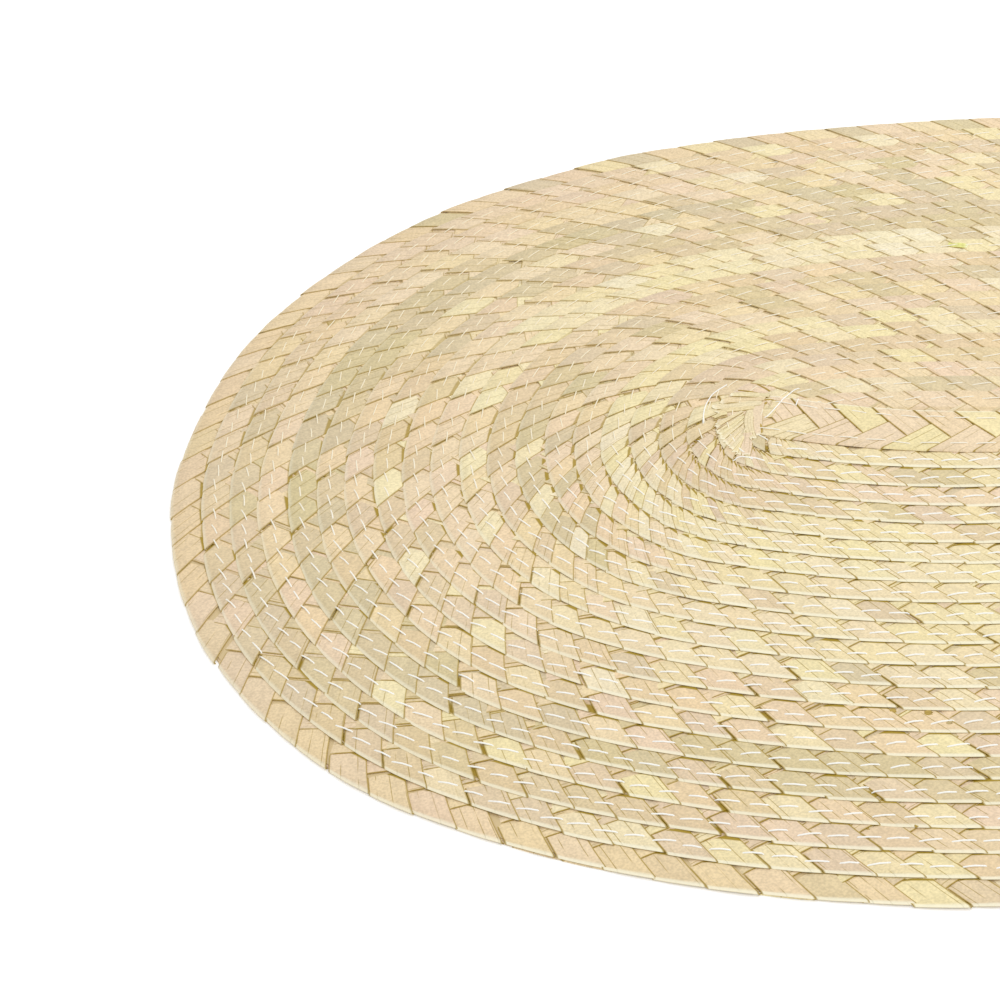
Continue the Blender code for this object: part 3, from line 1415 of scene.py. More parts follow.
@dataclass
class CentreStrip:
    """The plait's first straight stretch, which lies on top in the middle; at its left end it runs on under
    the rows, and the fold there is laid apart as loose leaf.
    """

    left: float = -0.0582
    right: float = 0.0500
    width: float = 0.0187
    curve: float = 2.44
    flattest: float = 0.0049
    level: float = -0.0033
    lift: float = 0.00078
    hidden: float = 0.0260
    hidden_lift: float = 0.00010
    rise: Span = (-0.0010, 0.0008)
    first_unit: float = -2.1
    tones_seed: int = 4
    tones: Sequence[float] = (0.40, 0.50, 0.62, 0.74, 0.84)

    def centre_line(self, x: float) -> float:
        """The strip's middle in plan: a shallow curve that climbs towards the left end."""
        return self.level + self.curve * (x - self.flattest) ** 2

    def stations(self, middle: Vector) -> list[Station]:
        """Stations along the strip's back edge, from under the rows at its left end to its right end.

        Args:
            middle: The middle of the mat's outline in the plan that the strip is drawn in.

        Returns:
            The stations, one step apart.
        """
        start = self.left - self.hidden
        low, high = self.rise
        stations = []
        for i in range(int((self.right - start) / STEP)):
            x = start + i * STEP
            risen = smooth_step(self.left + low, self.left + high, x)
            ahead = Vector((STEP, self.centre_line(x + STEP) - self.centre_line(x)))
            inward = Vector((ahead.y, -ahead.x)).normalized()
            point = Vector((x, self.centre_line(x))) - inward * self.width / 2 - middle
            lift = self.hidden_lift + (self.lift - self.hidden_lift) * risen
            stations.append(Station(point=point, inward=inward, lift=lift))
        return stations

    def placements(self, pitch: float, rng: random.Random) -> list[Placement]:
        """Where the strip's units go.

        Args:
            pitch: The plait's pitch.
            rng: Where each unit's grain and form come from.

        Returns:
            The placements.
        """
        tones = LeafTones(seed=self.tones_seed, tones=self.tones)
        count = int((self.right - self.left + self.hidden) / pitch)
        return [
            Placement(
                along=self.hidden + (i + self.first_unit) * pitch,
                across=0.0,
                height=0.0,
                size=(pitch, self.width, 1.0),
                turn=0.0,
                tone=tones.next_tone(i % 3, pitch),
                grain=rng.random(),
                choice=rng.randrange(VARIANTS),
            )
            for i in range(count)
        ]


@dataclass
class PlaitedRows:
    """The wound plait: every row of the mat outside the centre strip.

    Attributes:
        crossings: For the usual, the open and the closed units, where a strand goes under the others.
        names: The pieces that the rows are laid in, from the middle outwards.
        split_turns: The turns at which one piece ends and the next begins.
    """

    winding: Winding
    crossings: Sequence[float] = (0.49, 0.44, 0.54)
    names: Sequence[str] = ("inner_rows", "middle_rows", "outer_rows")
    split_turns: Sequence[int] = (10, 16)
    width: float = 0.0168
    least_width: float = 0.55
    pitch: float = 0.0117
    narrowest: float = 0.20
    loosest: float = 0.16
    start: float = math.radians(168)
    fan_turns: Span = (3.0, 15.0)
    fan_middle: float = math.radians(152)
    fan_ends: Span = (0.25, 1.20)
    fan_ends_right: Span = (0.35, 1.45)
    fan_lean: float = 0.45
    fan_overlap: float = 0.26
    # How strongly the painted fold highlight and shade show: most along the front, least behind, some in
    # the fans round the ends.
    fan_edge: float = 0.33
    least_edge: float = 0.10
    edge_power: float = 1.8
    lean_kept: float = 0.75
    open_until: Span = (math.radians(150), math.radians(172))
    closed_span: Span = (math.radians(173), math.radians(250))
    stray_along: Span = (-0.09, 0.09)
    stray_across: Span = (-0.00033, 0.00033)
    stray_up: Span = (-0.00003, 0.00006)
    stray_turn: Span = (-0.012, 0.012)
    stray_width: Span = (1.0, 1.08)
    seed: int = 5

    def at_left(self, station: Station) -> float:
        """One where the rows turn at the left end, falling to nothing along the sides."""
        return 1 - smooth_step(*self.fan_ends, abs(station.direction - self.fan_middle))

    def fan(self, station: Station) -> float:
        """How much the strips fan out round a tight end: one at its first turns, none in the last ones.

        Args:
            station: The station.

        Returns:
            The share, from 0 to 1.
        """
        from_right = min(station.direction, FULL_TURN - station.direction)
        at_end = max(self.at_left(station), 1 - smooth_step(*self.fan_ends_right, from_right))
        return at_end * (1 - smooth_step(*self.fan_turns, station.turn))

    def local_pitch(self, station: Station) -> float:
        """The plait's pitch at a station: narrow where it fans round a tight end, wide at the far left."""
        loose = self.loosest * self.at_left(station) * station.turn / self.winding.whole_turns
        return self.pitch * (1 - (1 - self.narrowest) * self.fan(station) + loose)

    def form(self, station: Station, draw: float) -> int:
        """Which unit lies at a station: 1 for open, where a second leg shows, 2 for closed, 0 for usual.

        Args:
            station: The station.
            draw: A random number from 0 to 1.

        Returns:
            The number of the form, in the order of the crossings.
        """
        open_share = self.at_left(station) * (1 - self.fan(station))
        open_share *= 1 - smooth_step(*self.open_until, station.direction)
        if draw < open_share:
            return 1
        low, high = self.closed_span
        return 2 if low < station.direction < high else 0

    def placements(self, stations: Sequence[Station]) -> list[list[Placement]]:
        """Where every unit goes, in groups of turns.

        Args:
            stations: The wound edge.

        Returns:
            For each piece, its placements.
        """
        rng = random.Random(self.seed)
        tones = LeafTones()
        groups: list[list[Placement]] = [[] for _ in self.names]
        along = 0.0
        end = len(stations) * STEP - 2 * LEG_PITCHES * self.pitch
        number = 0
        while along < end:
            station = stations[int(along / STEP)]
            pitch = self.local_pitch(station)
            fan = self.fan(station)
            tail = self.winding.tail_share(station.turn, station.direction)
            group = sum(station.turn >= turn for turn in self.split_turns)
            leg = self.lean_kept * self.pitch + (1 - self.lean_kept) * pitch
            leg *= 1 + self.fan_lean * fan
            width = self.width * (self.least_width + (1 - self.least_width) * tail)
            front = self.winding.front_share(station.direction)
            # away sets the painted shade of the leaf's tone: more at the left end and behind.
            away = (1 - front + self.at_left(station)) / 2
            # The painted fold highlight and shade are strongest along the front.
            marked = max(front**self.edge_power, self.fan_edge * fan)
            centred = LEG_PITCHES * (pitch - leg)
            groups[group].append(
                Placement(
                    along=along + centred + rng.uniform(*self.stray_along) * pitch,
                    across=rng.uniform(*self.stray_across),
                    height=rng.uniform(*self.stray_up),
                    size=(leg, width, 1.0),
                    turn=rng.uniform(*self.stray_turn),
                    tone=tones.next_tone(number % 3, pitch, station.turn, away),
                    grain=rng.random(),
                    narrow=pitch / leg * (rng.uniform(*self.stray_width) + self.fan_overlap * fan),
                    edge=self.least_edge + (1 - self.least_edge) * marked,
                    choice=rng.randrange(VARIANTS) + VARIANTS * self.form(station, rng.random()),
                )
            )
            along += pitch
            number += 1
        return groups


@dataclass
class Sewing:
    """The white running stitches: a short bent length of thread, repeated along the sewn rows.

    Attributes:
        slant: The least and the most that a stitch is turned inwards from its line, in radians.
        strip_near: How white and full the centre strip's thread is, as rows are by their nearness.
        cream_span: The directions where the thread turns cream, is cream, and turns white again.
    """

    length: float = 0.0061
    length_shares: Span = (0.86, 1.10)
    thread: float = 0.00054
    thread_end: float = 0.72
    flatness: float = 0.8
    bow: Span = (-0.00028, 0.00028)
    sunk: float = 0.00042
    rise: float = 0.00052
    steepness: float = 2.2
    taper: float = 2.0
    sides: int = 6
    lengthwise: Sequence[float] = (0.0, 0.12, 0.5, 0.88, 1.0)
    spacing: float = 0.0071
    spacing_shares: Span = (0.93, 1.07)
    height: float = 0.00086
    inset: float = 0.0035
    strip_inset: float = 0.0032
    stray: Span = (-0.00035, 0.00035)
    slant: Span = (-0.31, -0.05)
    strip_slant: Span = (-0.10, 0.16)
    strip_near: float = 0.55
    strip_ends: float = 0.004
    row_start: float = 0.02
    full_from: Span = (0.40, 0.90)
    fine_thread: float = 0.70
    fine_length: float = 0.80
    white_from: Span = (0.45, 0.95)
    back_tone: float = 0.60
    cream_span: tuple[float, float, float, float] = tuple(math.radians(a) for a in (150, 185, 235, 265))
    seed: int = 21

    def mesh(self, name: str, rng: random.Random) -> bpy.types.Mesh:
        """One stitch: a thread that comes up out of the leaf, lies on it and goes down again.

        Args:
            name: The mesh's name.
            rng: Where its small bend comes from.

        Returns:
            The closed mesh.
        """
        bow = rng.uniform(*self.bow)
        shape = bmesh.new()
        rings = []
        for share in self.lengthwise:
            swell = math.sin(math.pi * share)
            x = (share - 0.5) * self.length
            y = bow * swell
            z = -self.sunk + self.rise * min(1.0, swell * self.steepness)
            thickness = self.thread_end + (1 - self.thread_end) * min(1.0, swell * self.taper)
            radius = self.thread / 2 * thickness
            ring = []
            for k in range(self.sides):
                angle = FULL_TURN * k / self.sides
                up = self.flatness * radius * math.sin(angle)
                ring.append(shape.verts.new((x, y + radius * math.cos(angle), z + up)))
            rings.append(ring)
        add_tube(shape, rings)
        return mesh_of(shape, name)

    def cream(self, direction: float) -> float:
        """One at the left end's back quarter, falling to nothing at the front and behind the middle."""
        rise, full, fall, end = self.cream_span
        return smooth_step(rise, full, direction) * (1 - smooth_step(fall, end, direction))

    def line(
        self,
        ends: Span,
        inset: float,
        slant: Span,
        looks: Sequence[Span],
        rng: random.Random,
    ) -> list[Placement]:
        """Placements of one line of stitches.

        Args:
            ends: Where it starts and ends along the path.
            inset: How far inwards it runs.
            slant: The least and the most that a stitch is turned inwards from the line, in radians.
            looks: For each step of the path how white and full, and how cream, the thread is.
            rng: Where the hand's unevenness comes from.

        Returns:
            The placements.
        """
        stitches = []
        along, end = ends
        while along < end:
            near, cream = looks[int(along / STEP)]
            full = self.fine_thread + (1 - self.fine_thread) * smooth_step(*self.full_from, near)
            length = self.fine_length + (1 - self.fine_length) * full
            tone = self.back_tone + (1 - self.back_tone) * cream
            stitches.append(
                Placement(
                    along=along,
                    across=inset + rng.uniform(*self.stray),
                    height=self.height,
                    size=(rng.uniform(*self.length_shares) * length, full, full),
                    choice=rng.randrange(VARIANTS),
                    turn=rng.uniform(*slant),
                    tone=tone * (1 - smooth_step(*self.white_from, near)),
                    grain=0.0,
                )
            )
            along += self.spacing * rng.uniform(*self.spacing_shares)
        return stitches

    def row_line(
        self, winding: Winding, wound: Sequence[Station], rng: random.Random
    ) -> list[Placement]:
        """The stitches of all rows but the outermost.

        Args:
            winding: The mat's plan.
            wound: The wound edge.
            rng: Where the hand's unevenness comes from.

        Returns:
            The placements.
        """
        last = next(
            i
            for i, s in enumerate(wound)
            if s.turn >= winding.whole_turns - 1 and s.direction > winding.tail_end
        )
        looks = [(winding.front_share(s.direction), self.cream(s.direction)) for s in wound]
        return self.line((self.row_start, last * STEP), self.inset, self.slant, looks, rng)

    def strip_lines(self, strip: CentreStrip, count: int, rng: random.Random) -> list[Placement]:
        """The stitches along both edges of the centre strip.

        Args:
            strip: The strip.
            count: The number of its stations.
            rng: Where the hand's unevenness comes from.

        Returns:
            The placements.
        """
        looks = [(self.strip_near, 0.0)] * count
        end = strip.hidden + strip.right - strip.left - self.strip_ends
        ends = (strip.hidden + self.strip_ends, end)
        lines = []
        for inset in (self.strip_inset, strip.width - self.strip_inset):
            lines += self.line(ends, inset, self.strip_slant, looks, rng)
        return lines


class Surface:
    """The top of the pieces laid so far, for small things that lie on them."""

    over: float = 0.01

    def __init__(self, pieces: Iterable[bpy.types.Object]) -> None:
        """Read the pieces.

        Args:
            pieces: The objects that are lain on.
        """
        graph = bpy.context.evaluated_depsgraph_get()
        self.trees = [BVHTree.FromObject(piece, graph) for piece in pieces]

    def height(self, place: Vector) -> float:
        """The height of the highest piece over a place in plan.

        Args:
            place: The place.

        Returns:
            The height, or nothing where no piece lies.
        """
        start = Vector((place.x, place.y, self.over))
        hits = [tree.ray_cast(start, Vector((0.0, 0.0, -1.0)))[0] for tree in self.trees]
        return max((hit.z for hit in hits if hit), default=0.0)

    def heights(self, places: Sequence[Vector]) -> list[float]:
        """The heights along a row of places, each smoothed with its neighbours.

        Args:
            places: The places in order.

        Returns:
            The heights.
        """
        raw = [self.height(place) for place in places]
        padded = [raw[0]] + raw + [raw[-1]]
        return [(padded[i] + 2 * padded[i + 1] + padded[i + 2]) / 4 for i in range(len(raw))]


def curve_through(places: Sequence[Sequence[float]], share: float) -> Vector:
    """A point of the smooth curve through evenly spaced places.

    Args:
        places: The places in order, in millimetres.
        share: How far along the curve the point is, from 0 to 1.

    Returns:
        The point, in metres.
    """
    knots = [i / (len(places) - 1) for i in range(len(places))]
    total = np.zeros(len(places[0]))
    for knot, place in zip(knots, places):
        weight = math.prod((share - other) / (knot - other) for other in knots if other != knot)
        total += weight * np.array(place)
    return Vector(total / MILLIMETRES)


@dataclass(frozen=True)
class LooseLeaf:
    """A short loose length of leaf that lies on the rows.

    Attributes:
        course: Places along its middle and its width there, in millimetres.
        tone: Its colour of leaf, from 0 to 1.
        rise: How high it lies over the rows, in millimetres.
        ragged: How far its ends are torn, in millimetres.
    """

    course: Sequence[Triple]
    tone: float
    rise: float
    ragged: float = 0.3


@dataclass
class LooseWork:
    """Makes one mesh of loose leaf, and one of loose thread, that lie on the rows."""

    surface: Surface
    rows: int = 9
    across: Sequence[float] = (-1.0, -0.4, 0.4, 1.0)
    thickness: float = 0.00018
    crown: float = 0.00014
    half_leaf: float = 0.0040
    # Leaves longer than this get the painted fold highlight at their last end, where it stands for the pale
    # torn end too.
    shortest_highlighted: float = 0.0045
    highlight_edge: float = 0.8
    highlight_start: float = 0.0003
    thread: float = 0.00034
    thread_level: float = 0.35
    thread_sides: int = 6
    rings_per_place: int = 4
    start_tear: int = 3
    seed: int = 8

    def leaves(self, name: str, leaves: Iterable[LooseLeaf]) -> bpy.types.Mesh:
        """One mesh of all the leaves.

        Args:
            name: The mesh's name.
            leaves: The leaves, in the order in which they lie over each other.

        Returns:
            The mesh, with the attributes and the UV map that the leaf finish reads.
        """
        rng = random.Random(self.seed)
        shape = bmesh.new()
        uv_layer = shape.loops.layers.uv.new("leaf")
        layers = {key: shape.verts.layers.float.new(key) for key in ("tone", "grain", "narrow", "edge")}
        for leaf in leaves:
            grids, lengths = self.leaf_grids(shape, leaf, rng)
            grain = rng.random()
            edge = self.highlight_edge if lengths[-1] > self.shortest_highlighted else 0.0
            for r in range(self.rows):
                width = curve_through(leaf.course, r / (self.rows - 1)).z
                for vert in grids[0][r] + grids[1][r]:
                    vert[layers["tone"]] = leaf.tone
                    vert[layers["grain"]] = grain
                    vert[layers["narrow"]] = width / (2 * self.half_leaf)
                    vert[layers["edge"]] = edge
            for face, corners in self.skin(shape, grids):
                for loop, (r, c) in zip(face.loops, corners):
                    from_end = lengths[-1] - lengths[r] + self.highlight_start
                    loop[uv_layer].uv = (from_end, self.across[c] * self.half_leaf)
        return mesh_of(shape, name)

    def leaf_grids(
        self, shape: Shape, leaf: LooseLeaf, rng: random.Random
    ) -> tuple[list[list[list[Vert]]], list[float]]:
        """The points of a leaf's top and bottom, and the length along it at each row.

        Args:
            shape: The mesh that takes the points.
            leaf: The leaf.
            rng: Where the tears come from.

        Returns:
            The top and bottom grids, and the lengths.
        """
        places = [curve_through(leaf.course, r / (self.rows - 1)) for r in range(self.rows)]
        heights = self.surface.heights(places)
        lengths = [0.0]
        for before, after in zip(places, places[1:]):
            lengths.append(lengths[-1] + (after.xy - before.xy).length)
        tears = [0.0] * self.rows
        tears[0] = leaf.ragged / (self.start_tear * MILLIMETRES)
        tears[-1] = leaf.ragged / MILLIMETRES
        grids: list[list[list[Vert]]] = [[], []]
        for r, place in enumerate(places):
            ahead = (places[min(r + 1, self.rows - 1)] - places[max(r - 1, 0)]).xy.normalized()
            aside = Vector((-ahead.y, ahead.x))
            lines: list[list[Vert]] = [[], []]
            for c in self.across:
                spot = place.xy + aside * c * place.z / 2 + ahead * rng.uniform(-1, 1) * tears[r]
                height = heights[r] + leaf.rise / MILLIMETRES + self.crown * (1 - c * c)
                for k, line in enumerate(lines):
                    line.append(shape.verts.new((spot.x, spot.y, height - k * self.thickness)))
            for grid, line in zip(grids, lines):
                grid.append(line)
        return grids, lengths

    def skin(
        self, shape: Shape, grids: Sequence[Sequence[Sequence[Vert]]]
    ) -> list[tuple[bmesh.types.BMFace, list[tuple[int, int]]]]:
        """The faces over a pair of grids, each with the row and column of its corners.

        Args:
            shape: The mesh that takes the faces.
            grids: The top and the bottom grid.

        Returns:
            The faces and their corners.
        """
        last_row, last_column = self.rows - 1, len(self.across) - 1
        faces = []
        for r in range(last_row):
            for c in range(last_column):
                corners = [(r, c), (r, c + 1), (r + 1, c + 1), (r + 1, c)]
                for k, order in enumerate((corners[::-1], corners)):
                    faces.append((shape.faces.new([grids[k][i][j] for i, j in order]), order))
        rim = [(0, c) for c in range(last_column)] + [(r, last_column) for r in range(last_row)]
        rim += [(last_row, c) for c in range(last_column, 0, -1)] + [(r, 0) for r in range(last_row, 0, -1)]
        for here, ahead in zip(rim, rim[1:] + rim[:1]):
            order = [(0, here), (0, ahead), (1, ahead), (1, here)]
            face = shape.faces.new([grids[k][i][j] for k, (i, j) in order])
            faces.append((face, [corner for _, corner in order]))
        return faces

    def threads(self, name: str, courses: Iterable[Sequence[Span]]) -> bpy.types.Mesh:
        """One mesh of loose thread ends.

        Args:
            name: The mesh's name.
            courses: For each thread the places along it, in millimetres.

        Returns:
            The mesh.
        """
        upwards = Vector((0.0, 0.0, 1.0))
        shape = bmesh.new()
        for course in courses:
            count = self.rings_per_place * len(course)
            places = [curve_through(course, i / (count - 1)) for i in range(count)]
            heights = self.surface.heights(places)
            rings = []
            for i, place in enumerate(places):
                ahead = (places[min(i + 1, count - 1)] - places[max(i - 1, 0)]).normalized()
                aside = Vector((-ahead.y, ahead.x, 0.0))
                centre = Vector((place.x, place.y, heights[i] + self.thread * self.thread_level))
                ring = []
                for k in range(self.thread_sides):
                    angle = FULL_TURN * k / self.thread_sides
                    out = aside * math.cos(angle) + upwards * math.sin(angle)
                    ring.append(shape.verts.new(centre + out * self.thread / 2))
                rings.append(ring)
            add_tube(shape, rings)
        return mesh_of(shape, name)


@dataclass
class FoldedEnd:
    """The left end of the centre strip: folded leaf, the fan of slivers beside it, and thread ends.

    Attributes:
        under: The folded leaf that all else lies on.
        inner_arc: Places, in millimetres, of the arc that the slivers start from.
        outer_arc: Places of the arc that they end at.
        tips: The leaf's tip in front of the fold, and a dark one beside the slivers.
        patch: The torn ends behind the fold, from the lowest up.
        dark_lines: Ochre lines of the knot, and of the pleats behind the fold: dark fibres in part, and
            painted shade in the pleats' gaps and the notch.
        threads: The courses of the thread ends over the fold, in millimetres.
    """

    under: Sequence[LooseLeaf] = (
        LooseLeaf(((-53.0, 15.5, 8.0), (-57.0, 16.0, 8.5), (-61.0, 15.0, 5.0)), 0.62, 0.02),
        LooseLeaf(((-57.6, 19.5, 3.0), (-58.2, 12.0, 3.4), (-57.0, 3.8, 2.2)), 0.55, 0.10),
        LooseLeaf(((-59.8, 16.0, 2.4), (-60.3, 9.0, 2.6), (-58.6, 2.0, 2.0)), 0.78, 0.16),
    )
    slivers: int = 13
    inner_arc: Sequence[Span] = ((-62.4, 15.6), (-61.4, 10.5), (-60.8, 4.0))
    outer_arc: Sequence[Span] = ((-69.2, 8.8), (-67.2, 1.6), (-62.6, -5.6))
    sliver_widths: Span = (0.7, 1.7)
    sliver_stretch: Span = (0.7, 1.2)
    sliver_shift: Span = (-0.25, 0.25)
    sliver_bend: Span = (-0.3, 0.3)
    sliver_rise: Span = (0.05, 0.20)
    sliver_tones: Sequence[float] = (0.44, 0.70, 0.80, 0.90)
    sliver_ragged: float = 0.4
    tips: Sequence[LooseLeaf] = (
        LooseLeaf(((-60.3, 4.4, 2.6), (-60.4, -0.5, 3.2), (-60.3, -5.8, 2.4)), 0.42, 0.16, 0.2),
        LooseLeaf(((-66.4, 12.6, 0.7), (-68.4, 11.9, 0.6), (-70.0, 11.2, 0.4)), 0.02, 0.20),
    )
    patch: Sequence[LooseLeaf] = (
        LooseLeaf(((-58.0, 17.0, 1.5), (-64.0, 16.4, 2.2), (-69.6, 14.8, 1.7)), 0.66, 0.14, 0.6),
        LooseLeaf(((-57.2, 18.6, 2.0), (-63.4, 18.6, 3.3), (-70.3, 17.4, 2.5)), 0.80, 0.20, 0.9),
        LooseLeaf(((-56.4, 20.6, 2.0), (-62.0, 21.0, 3.2), (-68.4, 19.9, 2.3)), 0.50, 0.24, 0.7),
        LooseLeaf(((-55.2, 22.0, 1.4), (-60.5, 23.0, 2.3), (-66.0, 22.6, 1.6)), 0.74, 0.30, 0.5),
        LooseLeaf(((-66.4, 13.6, 1.2), (-68.2, 13.2, 1.5), (-70.2, 12.2, 1.2)), 0.90, 0.55, 0.3),
    )
    # Ochre strips: dark fibres, and painted shade in the pleats' gaps and a notch.
    dark_lines: Sequence[LooseLeaf] = (
        LooseLeaf(((-64.0, 25.2, 0.3), (-60.4, 24.6, 0.7), (-55.6, 22.8, 0.6)), 0.0, 0.05, 0.1),
        LooseLeaf(((-58.8, 28.3, 0.3), (-56.6, 26.6, 0.6), (-54.4, 24.2, 0.4)), 0.0, 0.05, 0.1),
        LooseLeaf(((-56.8, 20.4, 0.5), (-55.4, 20.5, 0.6), (-53.9, 20.3, 0.4)), 0.0, 0.05, 0.1),
        LooseLeaf(((-54.3, 20.0, 0.3), (-54.8, 17.4, 0.5), (-55.2, 14.8, 0.4)), 0.12, 0.05, 0.1),
        LooseLeaf(((-56.9, 18.6, 0.7), (-56.2, 18.7, 0.9), (-55.5, 18.8, 0.7)), 0.0, 0.05, 0.2),
        LooseLeaf(((-57.0, 8.6, 0.5), (-56.7, 6.6, 0.7), (-56.5, 4.4, 0.5)), 0.0, 0.05, 0.1),
    )
    threads: Sequence[Sequence[Span]] = (
        ((-46.9, 25.6), (-50.2, 22.2), (-53.2, 15.8), (-56.0, 11.6)),
        ((-47.0, 19.8), (-47.3, 18.4), (-47.6, 17.0)),
        ((-72.9, 9.6), (-72.6, 19.0), (-70.6, 24.2), (-67.3, 28.2)),
        ((-63.8, -7.8), (-62.2, -6.8), (-60.6, -6.6)),
        ((-61.2, -6.7), (-59.8, -6.9), (-58.4, -7.8)),
    )
    seed: int = 17

    def leaves(self) -> list[LooseLeaf]:
        """The loose leaf at the fold, from the lowest up."""
        return [*self.under, *self.fan(), *self.tips, *self.patch, *self.dark_lines]

    def fan(self) -> list[LooseLeaf]:
        """Narrow slivers that spread from the fold to the edge of the next row.

        Returns:
            The slivers, from the back one to the front one.
        """
        rng = random.Random(self.seed)
        near, far = self.sliver_widths
        fan = []
        for i in range(self.slivers):
            share = min(1.0, max(0.0, (i + rng.uniform(*self.sliver_shift)) / (self.slivers - 1)))
            start = curve_through(self.inner_arc, share) * MILLIMETRES
            end = curve_through(self.outer_arc, share) * MILLIMETRES
            bend = Vector((rng.uniform(*self.sliver_bend), rng.uniform(*self.sliver_bend)))
            middle = (start + end) / 2 + bend
            end_width = far * rng.uniform(*self.sliver_stretch)
            course = ((*start, near), (*middle, (near + far) / 2), (*end, end_width))
            tone = rng.choice(self.sliver_tones)
            fan.append(LooseLeaf(course, tone, rng.uniform(*self.sliver_rise), self.sliver_ragged))
        return fan


# The green end of a leaf, and brown spots on others.
LEAF_MARKS = (
    LooseLeaf(((-5.2, 100.9, 2.4), (-2.3, 100.2, 2.8), (0.6, 99.4, 2.4)), 1.0, 0.03, 0.0),
    LooseLeaf(((-20.8, -111.2, 0.8), (-20.1, -111.3, 1.7), (-19.4, -111.5, 0.8)), 0.0, 0.06),
    LooseLeaf(((-12.6, -112.0, 0.9), (-11.7, -112.2, 2.0), (-10.8, -112.4, 0.9)), 0.0, 0.06),
    LooseLeaf(((-7.4, -116.0, 0.6), (-6.8, -116.2, 1.2), (-6.2, -116.4, 0.6)), 0.02, 0.05),
    LooseLeaf(((-25.8, -152.6, 0.4), (-25.5, -152.7, 0.8), (-25.2, -152.8, 0.4)), 0.0, -0.04),
    LooseLeaf(((-14.9, -151.9, 0.4), (-14.6, -152.0, 0.8), (-14.3, -152.1, 0.4)), 0.0, -0.04),
)


@dataclass
class MatBed:
    """The leaf inside the mat, under every row: the mat's cut form as one thin closed layer."""

    winding: Winding
    low: float = 0.00030
    high: float = 0.00055
    inset: float = 0.0016
    corners: int = 240

    def mesh(self, name: str) -> bpy.types.Mesh:
        """The layer's closed mesh, within the outline.

        Args:
            name: The mesh's name.

        Returns:
            The mesh.
        """
        winding = self.winding
        shape = bmesh.new()
        rim = []
        for i in range(self.corners):
            direction = i / self.corners * FULL_TURN
            turn = winding.whole_turns if direction < winding.tail_end else winding.whole_turns - 1
            point = winding.edge_point(turn, direction)
            rim.append(point - point.normalized() * self.inset)
        lower = [shape.verts.new((p.x, p.y, self.low)) for p in rim]
        upper = [shape.verts.new((p.x, p.y, self.high)) for p in rim]
        shape.faces.new(lower)
        shape.faces.new(upper)
        for i in range(self.corners):
            after = (i + 1) % self.corners
            shape.faces.new((lower[i], lower[after], upper[after], upper[i]))
        bmesh.ops.recalc_face_normals(shape, faces=shape.faces)
        return mesh_of(shape, name, smooth=False)


@dataclass
class Studio:
    """The pale floor, the soft light and the camera."""

    camera_place: Vector = field(default_factory=lambda: Vector((-0.0074, -0.6399, 0.4570)))
    camera_target: Vector = field(default_factory=lambda: Vector((-0.1260, -0.0232, 0.0)))
    camera_roll: float = -0.125
    focal_length: float = 103.4
    sensor_width: float = 36.0
    floor_size: float = 6.0
    floor_glow: float = 0.14
    sky: float = 0.82
    white: Colour = (1.0, 1.0, 1.0, 1.0)
    lights: Sequence[tuple[str, Triple, float, float, Triple]] = (
        ("key_light", (0.30, -0.80, 1.00), 0.7, 2.55, (1.0, 0.99, 0.96)),
        ("window_light", (0.40, 0.45, 0.55), 0.5, 2.25, (0.90, 0.93, 1.0)),
    )

    def build(self) -> None:
        """Make the floor, the lights, the sky and the camera."""
        self.floor()
        for name, place, size, power, colour in self.lights:
            self.light(name, Vector(place), size, power, colour)
        scene = bpy.context.scene
        scene.world = bpy.data.worlds.new("pale_room")
        scene.world.use_nodes = True
        background = scene.world.node_tree.nodes["Background"]
        background.inputs["Color"].default_value = self.white
        background.inputs["Strength"].default_value = self.sky
        scene.view_settings.view_transform = "Standard"
        data = bpy.data.cameras.new("camera")
        data.lens = self.focal_length
        data.sensor_width = self.sensor_width
        data.sensor_fit = "HORIZONTAL"
        camera = bpy.data.objects.new("camera", data)
        scene.collection.objects.link(camera)
        look = (self.camera_target - self.camera_place).to_track_quat("-Z", "Y")
        camera.rotation_mode = "QUATERNION"
        camera.rotation_quaternion = look @ Euler((0.0, 0.0, self.camera_roll)).to_quaternion()
        camera.location = self.camera_place
        scene.camera = camera

    def floor(self) -> None:
        """The floor that the mat lies on."""
        bpy.ops.mesh.primitive_plane_add(size=self.floor_size)
        floor = bpy.context.object
        floor.name = "floor"
        values = {
            "Base Color": self.white,
            "Roughness": 1.0,
            "Specular IOR Level": 0.0,
            "Emission Color": self.white,
            "Emission Strength": self.floor_glow,
        }
        floor.data.materials.append(Dress(Finish.FLOOR.value, values).material)

    @staticmethod
    def light(name: str, place: Vector, size: float, power: float, colour: Triple) -> None:
        """A square soft light that looks at the mat.

        Args:
            name: The light's name.
            place: Where it hangs.
            size: Its side.
            power: Its power in watts.
            colour: Its colour.
        """
        data = bpy.data.lights.new(name, "AREA")
        data.shape = "SQUARE"
        data.size = size
        data.energy = power
        data.color = colour
        light = bpy.data.objects.new(name, data)
        light.location = place
        light.rotation_mode = "QUATERNION"
        light.rotation_quaternion = (-place).to_track_quat("-Z", "Y")
        bpy.context.scene.collection.objects.link(light)


def unit_collection(name: str, meshes: Iterable[bpy.types.Mesh]) -> bpy.types.Collection:
    """A collection of small meshes that a node tree picks from.

    Args:
        name: The collection's name.
        meshes: The meshes.

    Returns:
        The collection, which isn't linked to the scene.
    """
    units = bpy.data.collections.new(name)
    for mesh in meshes:
        units.objects.link(bpy.data.objects.new(mesh.name, mesh))
    return units


def hand_over(piece: bpy.types.Object) -> None:
    """Let a finished piece ride with the mat."""
    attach(piece, BODY)


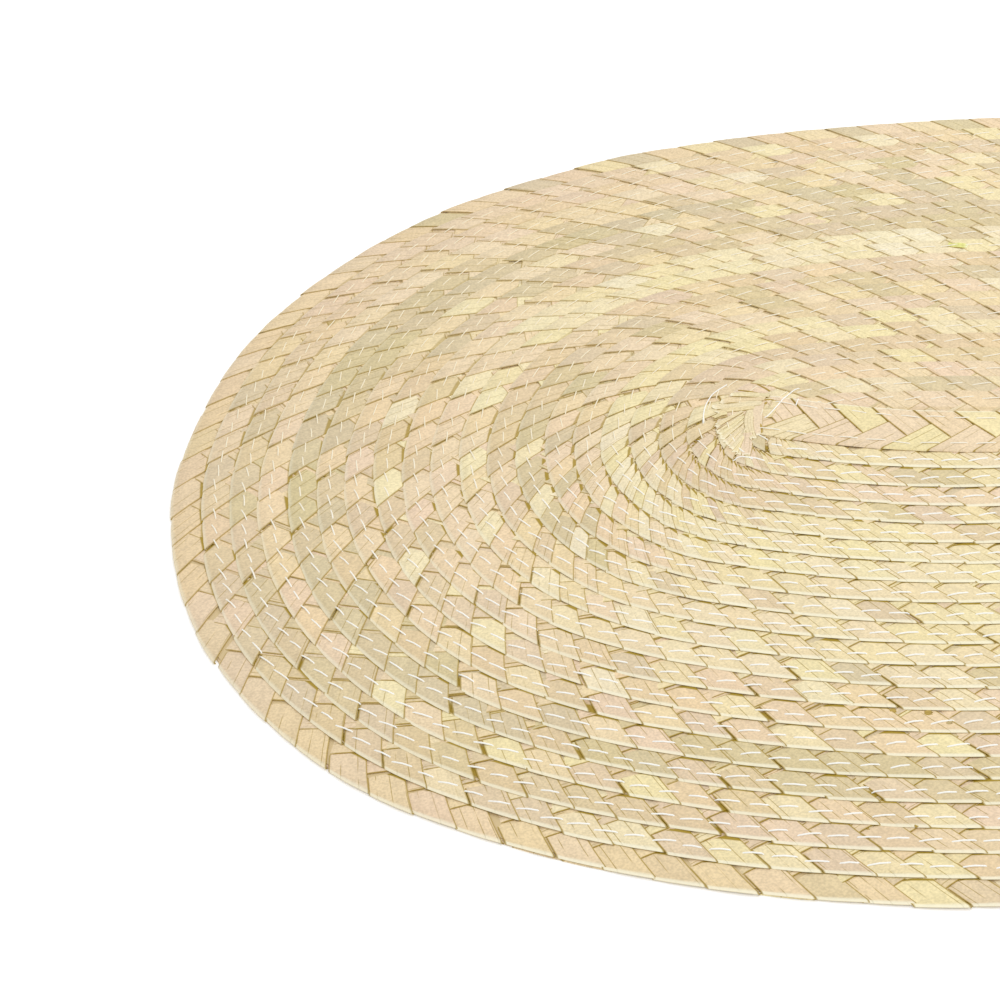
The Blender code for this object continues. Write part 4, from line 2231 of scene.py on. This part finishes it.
def main() -> None:
    """Build the mat's pieces in order, and the studio round them."""
    logging.basicConfig(level=logging.INFO, format="%(message)s")
    Studio().build()
    winding = Winding()
    rows = PlaitedRows(winding)
    strip = CentreStrip()
    sewing = Sewing()
    leaf = LeafFinish().material(Finish.LEAF.value)
    inside = InnerLeafFinish().material(Finish.INNER_LEAF.value)
    # The leaf on top has no painted shade under a next row.
    open_leaf = LeafFinish(under_lip_shade=0.0).material(Finish.OPEN_LEAF.value)
    thread = ThreadFinish().material(Finish.THREAD.value)
    repeater = Repeater(PathTool().group())

    rng = random.Random(VARIANTS_SEED)
    units = [StrandUnit(crossing) for crossing in rows.crossings for _ in range(VARIANTS)]
    strands = unit_collection("strands", [unit.mesh(f"strand_{i}", rng) for i, unit in enumerate(units)])
    stitches = unit_collection("stitches", [sewing.mesh(f"stitch_{i}", rng) for i in range(VARIANTS)])

    wound = winding.stations(rows.start)
    wound_path = path_object("wound_path", wound)
    strip_stations = strip.stations(winding.middle)
    strip_path = path_object("strip_path", strip_stations)

    pieces = []
    for name, placements in zip(rows.names, rows.placements(wound)):
        pieces.append(repeater.lay(name, placements, strands, wound_path, leaf))
    middle = strip.placements(rows.pitch, rng)
    pieces.append(repeater.lay("centre_strip", middle, strands, strip_path, open_leaf))
    plaited = list(pieces)

    sewing_rng = random.Random(sewing.seed)
    row_line = sewing.row_line(winding, wound, sewing_rng)
    pieces.append(repeater.lay("row_stitches", row_line, stitches, wound_path, thread))
    strip_lines = sewing.strip_lines(strip, len(strip_stations), sewing_rng)
    pieces.append(repeater.lay("strip_stitches", strip_lines, stitches, strip_path, thread))

    end = FoldedEnd()
    loose = LooseWork(Surface(plaited))
    fold = finished_object("folded_end", loose.leaves("folded_end", end.leaves()), open_leaf)
    on_fold = LooseWork(Surface(plaited + [fold]))
    ends = finished_object("thread_ends", on_fold.threads("thread_ends", end.threads), thread)
    marks = finished_object("leaf_marks", loose.leaves("leaf_marks", LEAF_MARKS), open_leaf)
    pieces += [fold, ends, marks]

    bed = finished_object("mat_bed", MatBed(winding).mesh("mat_bed"), inside)
    for piece in pieces + [bed]:
        hand_over(piece)
    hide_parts(NODE)
    for helper in (wound_path, strip_path):
        bpy.data.objects.remove(helper, do_unlink=True)


if __name__ == "__main__":
    main()
